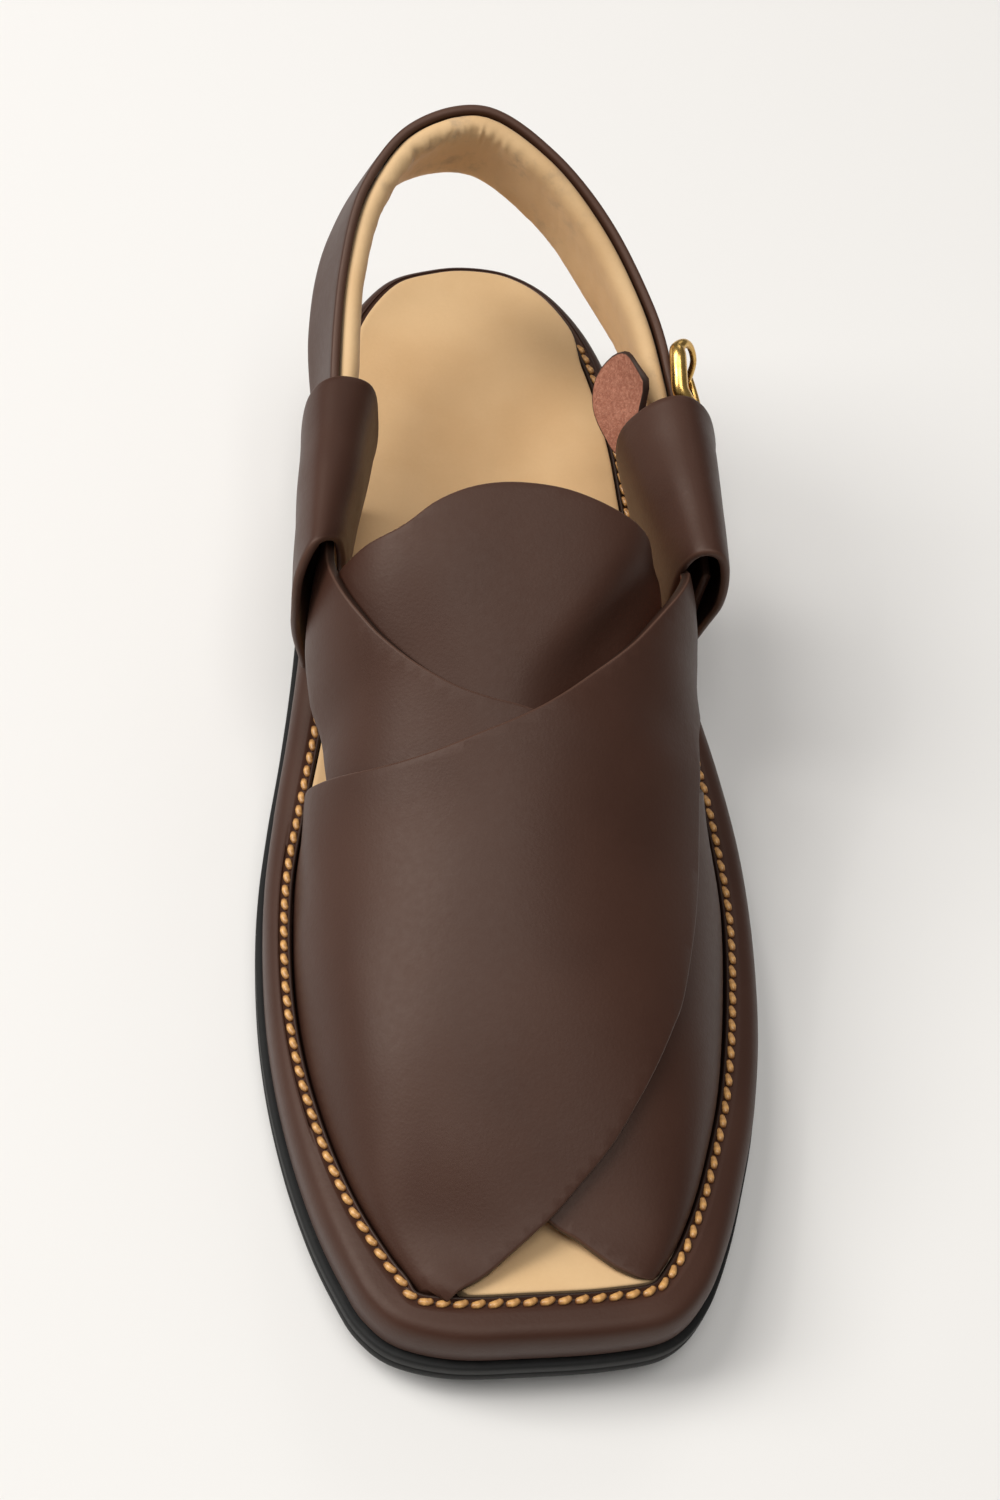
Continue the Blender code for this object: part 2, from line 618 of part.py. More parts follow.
def loop_section(rows, rear_y, share):
    """The band's middle line, foot to foot, at a share of the way from its front edge to its rear edge."""
    points = []
    for row in rows:
        y = row.front_y + (rear_y - row.front_y) * share
        x = row.front_x + (row.rear_x - row.front_x) * share
        z = row.front_z + (row.rear_z - row.front_z) * share
        points.append((x, y, max(z, rim_height(y) + GAP)))
    dense = []
    for i in range(len(points) - 1):
        here, after = points[i], points[i + 1]
        before, later = points[max(i - 1, 0)], points[min(i + 2, len(points) - 1)]
        for j in range(LOOP_FINE):
            slopes = [((after[c] - before[c]) / 2, (later[c] - here[c]) / 2) for c in range(3)]
            dense.append([hermite(here[c], after[c], *slopes[c], j / LOOP_FINE) for c in range(3)])
    dense.append(list(points[-1]))
    return dense


def build_loop(bm, rows, rear_y):
    """A folded band of leather, open at its front and rear."""
    sections = []
    for station in range(LOOP_STATIONS):
        middle = loop_section(rows, rear_y, station / (LOOP_STATIONS - 1))
        faces = ([], [])
        for i, (x, y, z) in enumerate(middle):
            before, after = middle[max(i - 1, 0)], middle[min(i + 1, len(middle) - 1)]
            dx, dz = after[0] - before[0], after[2] - before[2]
            length = math.hypot(dx, dz)
            if i in (0, len(middle) - 1):
                dx, dz = 0.0, math.copysign(length, dz)  # the feet are cut level
            for face, turn in zip(faces, (1, -1)):
                half = turn * LEATHER / 2
                face.append((x - dz / length * half, y, z + dx / length * half))
        sections.append(faces[0] + faces[1][::-1])
    close_ends(bm, loft_rings(bm, sections))


def close_ends(bm, rows):
    """Closes the first and last ring of a loft whose rings run up one face and back down the other."""
    for row in (rows[0], rows[-1]):
        last = len(row) - 1
        for i in range(len(row) // 2 - 1):
            bm.faces.new((row[i], row[i + 1], row[last - i - 1], row[last - i]))


# The heel strap's outer face, from its inner-side end round the heel to its outer-side end.
StrapRow = namedtuple("StrapRow", "top_x top_y top_z low_x low_y low_z")
HEEL_STRAP = [
    StrapRow(-38.4, 27.0, 59.5, -39.2, 27.0, 39.5),
    StrapRow(-35.0, 47.0, 65.6, -36.4, 47.0, 40.0),
    StrapRow(-33.6, 65.6, 73.4, -37.4, 66.0, 46.5),
    StrapRow(-31.8, 84.7, 81.3, -38.0, 86.0, 58.0),
    StrapRow(-26.5, 101.0, 90.0, -33.4, 105.0, 68.5),
    StrapRow(-15.6, 113.0, 96.4, -20.5, 119.5, 78.4),
    StrapRow(1.0, 117.2, 98.0, 1.4, 123.6, 78.0),
    StrapRow(17.2, 109.6, 92.0, 20.0, 113.6, 69.6),
    StrapRow(29.7, 96.8, 83.1, 33.4, 99.8, 58.0),
    StrapRow(38.1, 80.7, 74.2, 43.5, 83.0, 48.0),
    StrapRow(41.8, 65.0, 67.2, 47.6, 66.0, 41.0),
    StrapRow(43.2, 51.0, 62.5, 48.4, 51.0, 39.0),
    StrapRow(44.4, 30.0, 59.0, 46.4, 30.0, 39.5),
]
LAST_ROW = len(HEEL_STRAP) - 1
STRAP_FINE = 3  # stations drawn for each row of the strap's table
STRAP_ACROSS = 3  # faces across the strap
STRAP_STEP_S, STRAP_STEP_V = 0.05, 0.1  # either side of a point, to read the strap's slope there
PAD = 4.4  # the lining's thickness
PAD_IN_LOOP = 2.3
LOOP_ROWS = 1.0  # the rows of the strap's table that lie inside a loop
# The lining's cross-section: place across the strap (0 top, 1 bottom) and depth as a share of its thickness.
PAD_SECTION = [(0.07, 0.0), (0.015, 0.3), (0.015, 0.62), (0.07, 0.92), (0.2, 1.0), (0.5, 0.94), (0.8, 1.0),
               (0.93, 0.92), (0.985, 0.62), (0.985, 0.3), (0.93, 0.0), (0.65, 0.0), (0.35, 0.0), (0.2, 0.0)]


def strap_flat(s, v):
    """The strap's outer face: s counts the table's rows, v runs from 0 at the top edge to 1 at the bottom."""
    i = min(max(int(s), 0), LAST_ROW - 1)
    before, here, after, later = (HEEL_STRAP[min(max(i + k, 0), LAST_ROW)] for k in (-1, 0, 1, 2))
    slopes = [((after[c] - before[c]) / 2, (later[c] - here[c]) / 2) for c in range(len(here))]
    ends = [hermite(here[c], after[c], *slopes[c], s - i) for c in range(len(here))]
    return [ends[c] + (ends[c + 3] - ends[c]) * v for c in range(3)]


def strap_normal(s, v):
    """Outward normal of the strap's outer face."""
    ahead = strap_flat(min(s + STRAP_STEP_S, LAST_ROW), v)
    behind = strap_flat(max(s - STRAP_STEP_S, 0.0), v)
    down, up = (strap_flat(s, v + step) for step in (STRAP_STEP_V, -STRAP_STEP_V))
    normal = Vector(ahead) - Vector(behind)
    return normal.cross(Vector(down) - Vector(up)).normalized()


def strap_point(s, v, lift):
    """A point lift outside the strap's outer face."""
    return Vector(strap_flat(s, v)) + strap_normal(s, v) * lift


def build_heel_strap(bm):
    """The brown outer layer of the heel strap."""
    rings = []
    across = [k / STRAP_ACROSS for k in range(STRAP_ACROSS + 1)]
    for step in range(LAST_ROW * STRAP_FINE + 1):
        s = step / STRAP_FINE
        outer = [strap_point(s, v, 0.0) for v in across]
        rings.append(outer + [strap_point(s, v, -LEATHER) for v in across[::-1]])
    close_ends(bm, loft_rings(bm, rings))


def pad_thickness(s):
    """The lining is thin inside the loops and padded round the heel."""
    return PAD_IN_LOOP + (PAD - PAD_IN_LOOP) * eased(min(s - LOOP_ROWS, LAST_ROW - LOOP_ROWS - s))


def build_lining(bm):
    """The padded inner layer of the heel strap."""
    rings = []
    for step in range(LAST_ROW * STRAP_FINE + 1):
        s = step / STRAP_FINE
        thick = pad_thickness(s)
        rings.append([strap_point(s, v, -LEATHER - GAP - share * thick) for v, share in PAD_SECTION])
    rows = loft_rings(bm, rings)
    for row in (rows[0], rows[-1]):
        bm.faces.new(row)


BAR_RADIUS, PRONG_RADIUS = 1.6, 1.0
FRAME_LIFT = GAP + BAR_RADIUS
PRONG_LIFT = FRAME_LIFT + BAR_RADIUS + GAP + PRONG_RADIUS
# The buckle's frame on the strap's face, as (s, v), and the prong across its middle.
FRAME_PATH = [
    # the side towards the heel, from top to bottom
    (9.76, -0.12), (9.68, -0.06), (9.64, 0.05), (9.64, 0.5), (9.64, 0.96), (9.68, 1.06), (9.76, 1.12),
    # along the bottom
    (9.88, 1.14), (10.13, 1.14), (10.38, 1.14), (10.5, 1.12), (10.58, 1.06),
    # the side towards the loop and along the top
    (10.62, 0.96), (10.62, 0.5), (10.62, 0.05), (10.58, -0.06), (10.5, -0.12), (10.38, -0.14), (10.13, -0.14),
    (9.88, -0.14),
]


BAR_SIDES = 8
WELD = 1e-4
MIDDLE = 0.5  # half way down the strap
PRONG_STATIONS = [10.7, 10.5, 10.2, 9.9, 9.64, 9.54]


def tube(bm, path, normals, radius, closed):
    """A round bar along a path of points, with a normal at each."""
    rings = []
    count = len(path)
    for i in range(count):
        before = path[i - 1] if closed or i else path[0]
        after = path[(i + 1) % count] if closed or i < count - 1 else path[-1]
        forward = (after - before).normalized()
        out = (normals[i] - forward * normals[i].dot(forward)).normalized()
        aside = forward.cross(out)
        turns = [math.tau * k / BAR_SIDES for k in range(BAR_SIDES)]
        rings.append([path[i] + (out * math.cos(t) + aside * math.sin(t)) * radius for t in turns])
    if closed:
        rings.append(rings[0])
    rows = loft_rings(bm, rings)
    if closed:
        bmesh.ops.remove_doubles(bm, verts=bm.verts, dist=WELD)
    else:
        for row in (rows[0], rows[-1]):
            bm.faces.new(row)


def build_buckle_frame(bm):
    """The buckle's frame: an oblong of round bar, taller than the strap is wide."""
    path = [strap_point(s, v, FRAME_LIFT) for s, v in FRAME_PATH]
    tube(bm, path, [strap_normal(s, v) for s, v in FRAME_PATH], BAR_RADIUS, True)


def build_prong(bm):
    """The prong, lying across the frame's middle."""
    path = [strap_point(s, MIDDLE, PRONG_LIFT) for s in PRONG_STATIONS]
    tube(bm, path, [strap_normal(s, MIDDLE) for s in PRONG_STATIONS], PRONG_RADIUS, False)


def clear_scene():
    """Removes the startup scene's objects."""
    for obj in list(bpy.data.objects):
        bpy.data.objects.remove(obj, do_unlink=True)


def main():
    """Builds every piece of the shoe."""
    clear_scene()
    black = material("rubber_black", (0.012, 0.012, 0.013), 0.6)
    brown = material("leather_brown", (0.058, 0.027, 0.02), 0.45)
    tan = material("leather_tan", (0.55, 0.37, 0.22), 0.6)
    brass = material("brass", (0.72, 0.5, 0.18), 0.25, 1.0)
    new_object("outsole", build_outsole, black)
    new_object("midsole", build_midsole, brown)
    new_object("insole", build_insole, tan)
    build_upper(brown)
    new_object("tongue", lambda bm: sheet_on_last(bm, TONGUE, lambda a, y: -2 * GAP - LEATHER), brown)
    new_object("loop_medial", lambda bm: build_loop(bm, INNER_LOOP, INNER_LOOP_REAR_Y), brown)
    new_object("loop_lateral", lambda bm: build_loop(bm, OUTER_LOOP, OUTER_LOOP_REAR_Y), brown)
    new_object("heel_strap", build_heel_strap, brown)
    new_object("heel_strap_lining", build_lining, tan)
    new_object("buckle_frame", build_buckle_frame, brass)
    new_object("buckle_prong", build_prong, brass)


if __name__ == "__main__":
    main()
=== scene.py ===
"""Looks of a left peshawari chappal: leather, lining, thread, brass, rubber, floor, light and camera.

Tables are in millimetres in the shoe's pattern frame: toe towards -Y, heel towards +Y, +X the outer side
and Z up from the floor. The workbench moves each finished mesh into the loaded frame, in metres.
"""

from __future__ import annotations

import logging
import math
from collections.abc import Callable, Sequence
from dataclasses import dataclass
from enum import Enum
from functools import cached_property, lru_cache

import bmesh
import bpy
from mathutils import Matrix, Vector, noise

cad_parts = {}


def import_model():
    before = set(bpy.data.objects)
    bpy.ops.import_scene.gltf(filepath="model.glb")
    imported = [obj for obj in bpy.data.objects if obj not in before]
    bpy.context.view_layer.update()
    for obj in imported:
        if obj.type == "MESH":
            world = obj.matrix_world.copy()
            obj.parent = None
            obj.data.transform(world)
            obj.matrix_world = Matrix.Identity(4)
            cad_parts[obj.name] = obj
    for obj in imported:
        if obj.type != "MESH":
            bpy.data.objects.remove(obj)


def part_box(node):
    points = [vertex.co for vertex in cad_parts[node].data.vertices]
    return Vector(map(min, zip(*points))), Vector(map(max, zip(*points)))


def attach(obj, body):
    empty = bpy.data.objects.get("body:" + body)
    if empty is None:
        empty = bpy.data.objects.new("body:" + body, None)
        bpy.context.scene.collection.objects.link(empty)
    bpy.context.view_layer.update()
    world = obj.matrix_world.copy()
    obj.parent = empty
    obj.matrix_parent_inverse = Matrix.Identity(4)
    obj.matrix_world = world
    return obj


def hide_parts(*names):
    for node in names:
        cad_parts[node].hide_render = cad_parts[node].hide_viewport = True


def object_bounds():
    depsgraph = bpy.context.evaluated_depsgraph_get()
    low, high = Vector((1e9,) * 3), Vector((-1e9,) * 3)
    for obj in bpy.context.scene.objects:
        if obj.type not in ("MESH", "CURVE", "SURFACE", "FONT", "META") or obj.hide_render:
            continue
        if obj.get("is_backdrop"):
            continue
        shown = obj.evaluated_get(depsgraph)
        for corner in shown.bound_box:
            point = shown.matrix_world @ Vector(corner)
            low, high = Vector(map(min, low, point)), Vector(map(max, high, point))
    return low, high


log = logging.getLogger("chappal")

MM = 0.001
GAP = 0.3  # between two pieces that touch
LEATHER = 2.0
WELD = 1e-4  # vertices closer than this become one
TINY = 1e-6  # keeps a length above 0 where something is divided by it
BODY = "root"
Point = tuple[float, ...]
Stroke = tuple[Point, ...]


class Slot(Enum):
    """The record's material slots."""

    RUBBER = "rubber"
    BROWN = "brown_leather"
    TAN = "tan_leather"
    BRASS = "brass"


# --------------------------------------------------------------------------- curves


def hermite(a: float, b: float, slope_a: float, slope_b: float, t: float) -> float:
    """Cubic curve between two values.

    Args:
        a: the value at t = 0.
        b: the value at t = 1.
        slope_a: the slope at a, per unit of t.
        slope_b: the slope at b, per unit of t.
        t: the place on the curve.

    Returns:
        The value at t.
    """
    t2, t3 = t * t, t * t * t
    ends = a * (2 * t3 - 3 * t2 + 1) + b * (3 * t2 - 2 * t3)
    return ends + slope_a * (t3 - 2 * t2 + t) + slope_b * (t3 - t2)


def eased(t: float) -> float:
    """t clamped to 0..1, with a soft start and end."""
    t = min(max(t, 0.0), 1.0)
    return t * t * (3 - 2 * t)


def bump_at(value: float, centre: float, reach: float) -> float:
    """A soft hump: 1 at the centre, 0 from reach away."""
    return 1 - eased(abs(value - centre) / reach)


def smooth_path(points: Sequence[Point], closed: bool, fine: int) -> list[Point]:
    """Points on a smooth curve through the given ones.

    Args:
        points: corners, as tuples of any one length.
        closed: whether the curve comes back to its first point.
        fine: points drawn for each given one.

    Returns:
        The curve's points; a closed curve's first point comes again at its end.
    """
    count = len(points)
    spans = count if closed else count - 1

    def corner(i: int) -> Point:
        """The corner that stands at i, also beyond either end."""
        return points[i % count] if closed else points[min(max(i, 0), count - 1)]

    path = []
    for i in range(spans):
        before, here, after, later = (corner(i + k) for k in (-1, 0, 1, 2))
        for j in range(fine):
            path.append(
                tuple(
                    hermite(here[c], after[c], (after[c] - before[c]) / 2, (later[c] - here[c]) / 2, j / fine)
                    for c in range(len(here))
                )
            )
    path.append(tuple(corner(spans)))
    return path


def respaced(path: Sequence[Point], reach: Sequence[float], steps: int) -> list[Point]:
    """Evenly spread points on a dense path, without its last one.

    Args:
        path: the dense path.
        reach: distance covered at each of its points, in any measure.
        steps: how many points to give.

    Returns:
        The points, evenly spread in that measure.
    """
    result, k = [], 0
    for step in range(steps):
        want = reach[-1] * step / steps
        while reach[k + 1] < want:
            k += 1
        t = (want - reach[k]) / max(reach[k + 1] - reach[k], TINY)
        result.append(tuple(p + (q - p) * t for p, q in zip(path[k], path[k + 1])))
    return result


def reach_of(path: Sequence[Point], scale: Point = (1.0, 1.0)) -> list[float]:
    """Distance covered at each point of a path.

    Args:
        path: the points, of which the first two numbers count.
        scale: what those two numbers are multiplied by.

    Returns:
        The distances, from 0 at the first point.
    """
    reach = [0.0]
    for p, q in zip(path, path[1:]):
        reach.append(reach[-1] + math.hypot((q[0] - p[0]) * scale[0], (q[1] - p[1]) * scale[1]))
    return reach


def nearest_on(polygon: Sequence[Point], x: float, y: float) -> tuple[float, Point]:
    """Looks for the place of a closed outline that lies nearest to a point.

    Args:
        polygon: the outline's corners.
        x: the point's x.
        y: the point's y.

    Returns:
        How far the outline is, and its nearest place.
    """
    best = (math.inf, (x, y))
    for (x0, y0), (x1, y1) in zip(polygon, [*polygon[1:], polygon[0]]):
        dx, dy = x1 - x0, y1 - y0
        t = min(max(((x - x0) * dx + (y - y0) * dy) / max(dx * dx + dy * dy, TINY * TINY), 0.0), 1.0)
        near = (x0 + t * dx, y0 + t * dy)
        far = math.hypot(x - near[0], y - near[1])
        if far < best[0]:
            best = (far, near)
    return best


def inside(polygon: Sequence[Point], x: float, y: float) -> bool:
    """Whether a point lies in an outline.

    Args:
        polygon: the outline's corners.
        x: the point's x.
        y: the point's y.

    Returns:
        True inside it.
    """
    hit = False
    for (x0, y0), (x1, y1) in zip(polygon, [*polygon[1:], polygon[0]]):
        if (y0 > y) != (y1 > y) and x < x0 + (x1 - x0) * (y - y0) / (y1 - y0):
            hit = not hit
    return hit


# --------------------------------------------------------------------------- the shoe's forms


@dataclass(frozen=True)
class Edge:
    """A corner of the sole's plan, and how far in from it the stitches run."""

    x: float
    y: float
    welt: float


@dataclass(frozen=True)
class Section:
    """The rim's height and the crossed panels' inner face at one place along the shoe.

    inner and outer are half widths, used only behind the places where the panels' edges leave the recess.
    """

    y: float
    rim: float
    inner: float
    outer: float
    crest_x: float
    crest_z: float
    roundness: float


def read_row(rows: Sequence[Section], column: str, y: float) -> float:
    """A column of a table, read as a smooth curve through its rows.

    Args:
        rows: the table, by growing y.
        column: the column's name.
        y: where to read it; the ends hold beyond the table.

    Returns:
        The column's value there.
    """
    ys = [row.y for row in rows]
    values = [getattr(row, column) for row in rows]
    y = min(max(y, ys[0]), ys[-1])
    i = max(k for k in range(len(ys) - 1) if ys[k] <= y) if y > ys[0] else 0
    slopes = []
    for k in (i, i + 1):
        before, after = max(k - 1, 0), min(k + 1, len(ys) - 1)
        slopes.append((values[after] - values[before]) / (ys[after] - ys[before]))
    span = ys[i + 1] - ys[i]
    return hermite(values[i], values[i + 1], slopes[0] * span, slopes[1] * span, (y - ys[i]) / span)


class SoleForm:
    """The sole's plan, going round from the toe over the inner side, and its heights."""

    EDGE = (
        Edge(-8.0, -138.5, 8.8),
        Edge(-22.0, -137.8, 8.6),
        Edge(-32.8, -134.4, 7.6),
        Edge(-38.9, -128.6, 8.8),
        Edge(-42.6, -121.0, 8.2),
        Edge(-46.8, -109.0, 7.2),
        Edge(-50.6, -93.0, 6.2),
        Edge(-53.2, -75.0, 5.4),
        Edge(-54.1, -56.0, 5.2),
        Edge(-53.1, -34.0, 5.6),
        Edge(-50.0, -14.0, 6.6),
        Edge(-46.0, 6.0, 7.2),
        Edge(-42.4, 27.0, 7.2),
        Edge(-39.4, 50.0, 7.2),
        Edge(-37.2, 73.0, 7.2),
        Edge(-35.2, 91.0, 7.0),
        Edge(-31.4, 106.0, 6.5),
        Edge(-25.0, 119.5, 5.8),
        Edge(-15.5, 130.5, 5.4),
        Edge(-4.0, 134.9, 5.2),
        Edge(6.5, 136.0, 5.2),
        Edge(17.5, 133.6, 5.2),
        Edge(27.3, 126.2, 5.3),
        Edge(35.0, 113.5, 5.8),
        Edge(39.8, 98.0, 6.5),
        Edge(42.8, 78.0, 6.9),
        Edge(44.0, 58.0, 7.2),
        Edge(45.6, 36.0, 7.2),
        Edge(48.4, 14.0, 7.0),
        Edge(51.7, -7.0, 6.9),
        Edge(53.5, -27.0, 7.3),
        Edge(52.9, -48.0, 7.1),
        Edge(50.2, -70.0, 7.8),
        Edge(45.8, -89.0, 8.0),
        Edge(40.6, -104.0, 8.2),
        Edge(34.8, -118.0, 8.6),
        Edge(28.2, -129.5, 9.0),
        Edge(20.0, -136.4, 8.6),
        Edge(8.0, -138.4, 8.8),
    )
    SECTIONS = (
        Section(-140.0, 25.4, 0.0, 0.0, -7.0, 25.9, 8.0),
        Section(-128.0, 24.2, 0.0, 0.0, -6.5, 25.2, 7.0),
        Section(-116.0, 22.9, 0.0, 0.0, -5.0, 26.8, 5.0),
        Section(-100.0, 21.0, 0.0, 0.0, -4.0, 33.0, 3.1),
        Section(-80.0, 19.4, 0.0, 0.0, -4.0, 41.2, 2.2),
        Section(-60.0, 18.4, 45.0, 42.8, -4.0, 47.6, 1.95),
        Section(-40.0, 18.2, 44.2, 42.6, -3.0, 54.0, 1.95),
        Section(-22.0, 18.8, 41.2, 40.9, -1.5, 61.4, 2.3),
        Section(-5.0, 20.4, 40.6, 40.4, 0.0, 69.2, 2.9),
        Section(10.0, 22.2, 40.8, 40.4, 0.5, 76.0, 3.6),
        Section(25.0, 24.2, 38.8, 37.0, 1.0, 82.0, 3.8),
        Section(45.0, 27.0, 33.5, 36.0, 2.0, 86.0, 3.8),
        Section(70.0, 30.6, 28.0, 27.0, 3.0, 88.0, 3.8),
        Section(105.0, 33.8, 26.0, 24.0, 4.0, 90.0, 3.8),
        Section(140.0, 35.9, 20.0, 20.0, 5.0, 90.0, 3.8),
    )
    STEPS = 320
    FINE = 24  # points drawn for each given corner
    TURN_LENGTH = 22.0  # a turn of one radian draws as many points to it as this length does
    OUTSOLE_THICK = 6.5
    # The toe spring begins at a y and reaches its rise a length further on.
    SPRING_START_Y, SPRING_RISE, SPRING_LENGTH = -50.0, 7.8, 90.0
    # The arch under the waist.
    ARCH_RISE, ARCH_CENTRE_Y, ARCH_REACH = 1.2, 26.0, 34.0
    SLOT_PAST_STITCH = 1.5
    RECESS_DEPTH = 4.0

    @cached_property
    def edge(self) -> list[Point]:
        """The outline's points, closer where it turns.

        Returns:
            As many (x, y, welt) points as STEPS says.
        """
        path = smooth_path([(row.x, row.y, row.welt) for row in self.EDGE], True, self.FINE)
        reach = [0.0]
        heading = math.atan2(path[1][1] - path[-2][1], path[1][0] - path[-2][0])
        for p, q in zip(path, path[1:]):
            turned = math.atan2(q[1] - p[1], q[0] - p[0])
            turn = abs(math.remainder(turned - heading, math.tau))
            heading = turned
            reach.append(reach[-1] + math.hypot(q[0] - p[0], q[1] - p[1]) + turn * self.TURN_LENGTH)
        return respaced(path, reach, self.STEPS)

    def ring(self, inset: Callable[[float], float]) -> list[Point]:
        """The outline moved inwards.

        Args:
            inset: distance inwards at a point whose stitches lie that far in.

        Returns:
            As many (x, y) points as the outline has.
        """
        return self.moved_in([point[:2] for point in self.edge], [inset(point[2]) for point in self.edge])

    def moved_in(self, outline: Sequence[Point], distances: Sequence[float]) -> list[Point]:
        """An outline moved inwards.

        Args:
            outline: the (x, y) points.
            distances: how far inwards each of them goes.

        Returns:
            The moved points.
        """
        count = len(outline)
        ring, folded = [], []
        for i, (x, y) in enumerate(outline):
            (x0, y0), (x1, y1) = outline[i - 1], outline[(i + 1) % count]
            length = math.hypot(x1 - x0, y1 - y0)
            ring.append((x + (y1 - y0) / length * distances[i], y + (x0 - x1) / length * distances[i]))
        for i in range(count):
            (x0, y0), (x1, y1) = ring[i - 1], ring[(i + 1) % count]
            (a0, b0), (a1, b1) = outline[i - 1], outline[(i + 1) % count]
            folded.append((x1 - x0) * (a1 - a0) + (y1 - y0) * (b1 - b0) <= 0)
        return self._without_folds(ring, folded)

    @staticmethod
    def _without_folds(ring: list[Point], folded: list[bool]) -> list[Point]:
        """Draws together the points that ran backwards at a tight corner.

        Args:
            ring: the moved points.
            folded: which of them ran backwards.

        Returns:
            The ring with those points spread between their neighbours.
        """
        count, result = len(ring), list(ring)
        for i in range(count):
            if not folded[i]:
                continue
            low = next(k for k in range(1, count) if not folded[i - k])
            high = next(k for k in range(1, count) if not folded[(i + k) % count])
            (x0, y0), (x1, y1) = ring[i - low], ring[(i + high) % count]
            result[i] = (x0 + (x1 - x0) * low / (low + high), y0 + (y1 - y0) * low / (low + high))
        return result

    @lru_cache(maxsize=None)
    def rim(self, y: float) -> float:
        """Height of the stitched rim above the floor."""
        return read_row(self.SECTIONS, "rim", y)

    def underside(self, y: float) -> float:
        """The sole's underside: flat at heel and forefoot, a shallow arch and the toe spring."""
        spring = self.SPRING_RISE * (max(self.SPRING_START_Y - y, 0.0) / self.SPRING_LENGTH) ** 2
        return spring + self.ARCH_RISE * bump_at(y, self.ARCH_CENTRE_Y, self.ARCH_REACH)

    @cached_property
    def slot_room(self) -> list[Point]:
        """Outline of the recess that takes the panels' edges, a little inside its wall."""
        return self.ring(lambda welt: welt + self.SLOT_PAST_STITCH + GAP)

    @cached_property
    def slot_wall(self) -> list[Point]:
        """Outline of the recess's wall."""
        return self.ring(lambda welt: welt + self.SLOT_PAST_STITCH)

    def stitch_line(self, pitch: float) -> list[Point]:
        """Evenly spaced places on the line of stitches.

        Args:
            pitch: about how far apart they are.

        Returns:
            The (x, y) places, all the way round.
        """
        line = self.ring(lambda welt: welt)
        line.append(line[0])
        reach = reach_of(line)
        return respaced(line, reach, round(reach[-1] / pitch))


class PanelForm:
    """The curved surface that the crossed panels and the tongue lie on, by y and a.

    a runs from -1 at the inner rim over the crest at 0 to +1 at the outer rim.
    """

    INNER_END_Y, OUTER_END_Y = -16.0, -13.0
    WING_BLEND = 14.0
    ARC_LENGTH = 55.0  # about the length on the leather of a from 0 to 1
    # A hollow low on the outer flank: its depth, its place, and how far it reaches each way.
    TUCK, TUCK_Y, TUCK_LONG, TUCK_A, TUCK_WIDE = 1.4, -22.0, 24.0, 0.83, 0.24
    STEP_Y, STEP_A = 0.8, 0.02  # how far apart the points are from which a normal is taken
    CLEAR_OF_WALL = 1.0  # this far above the rim the recess's wall no longer holds a panel in

    def __init__(self, sole: SoleForm) -> None:
        """Keeps the sole whose recess holds the panels' edges."""
        self.sole = sole

    @lru_cache(maxsize=None)
    def half_width(self, y: float, side: int) -> float:
        """Half width of the panels' inner face.

        Args:
            y: the place along the shoe.
            side: -1 for the inner side, +1 for the outer side.

        Returns:
            How far the face reaches from x = 0.
        """
        best, wall = 0.0, self.sole.slot_wall
        for (x0, y0), (x1, y1) in zip(wall, [*wall[1:], wall[0]]):
            if (y0 - y) * (y1 - y) <= 0 and y0 != y1:
                best = max(best, side * (x0 + (x1 - x0) * (y - y0) / (y1 - y0)))
        from_table = read_row(self.sole.SECTIONS, "outer" if side > 0 else "inner", y)
        share = eased((y - (self.OUTER_END_Y if side > 0 else self.INNER_END_Y)) / self.WING_BLEND)
        return (best - GAP - LEATHER) * (1 - share) + from_table * share

    @lru_cache(maxsize=None)
    def section(self, y: float) -> Point:
        """The panels' cross-section.

        Args:
            y: the place along the shoe.

        Returns:
            The crest's x, the base's height, the crest's height above it, and the roundness.
        """
        crest_x, crest_z, power = (
            read_row(self.sole.SECTIONS, name, y) for name in ("crest_x", "crest_z", "roundness")
        )
        base = self.sole.rim(y) - self.sole.RECESS_DEPTH + GAP
        return crest_x, base, crest_z - base, power

    def point(self, y: float, a: float) -> Vector:
        """A point of the panels' inner face.

        Args:
            y: the place along the shoe.
            a: the place across it.

        Returns:
            The point.
        """
        side = 1 if a > 0 else -1
        crest_x, base, high, power = self.section(y)
        wide = self.half_width(y, side) - side * crest_x
        across, up = math.sin(a * math.pi / 2), math.cos(a * math.pi / 2)
        reach = (abs(across) ** power + abs(up) ** power) ** (-1 / power)
        hollow = self.TUCK * bump_at(y, self.TUCK_Y, self.TUCK_LONG) * bump_at(a, self.TUCK_A, self.TUCK_WIDE)
        return Vector((crest_x + wide * reach * across - hollow, y, base + high * reach * up))

    def normal(self, y: float, a: float) -> Vector:
        """Outward normal of the panels' inner face.

        Args:
            y: the place along the shoe.
            a: the place across it.

        Returns:
            The unit normal.
        """
        along = self.point(y + self.STEP_Y, a) - self.point(y - self.STEP_Y, a)
        over = self.point(y, min(a + self.STEP_A, 1.0)) - self.point(y, max(a - self.STEP_A, -1.0))
        return over.cross(along).normalized()

    def above(self, y: float, a: float, lift: float) -> Vector:
        """A point above the panels' inner face, kept out of the recess's wall.

        Args:
            y: the place along the shoe.
            a: the place across it.
            lift: how far above the face.

        Returns:
            The point.
        """
        a = min(max(a, -1.0), 1.0)
        point = self.point(y, a) + self.normal(y, a) * lift
        room = self.sole.slot_room
        if point.z > self.sole.rim(y) + self.CLEAR_OF_WALL or inside(room, point.x, point.y):
            return point
        _, (x, y_in) = nearest_on(room, point.x, point.y)
        return Vector((x, y_in, point.z))


# --------------------------------------------------------------------------- mesh tools


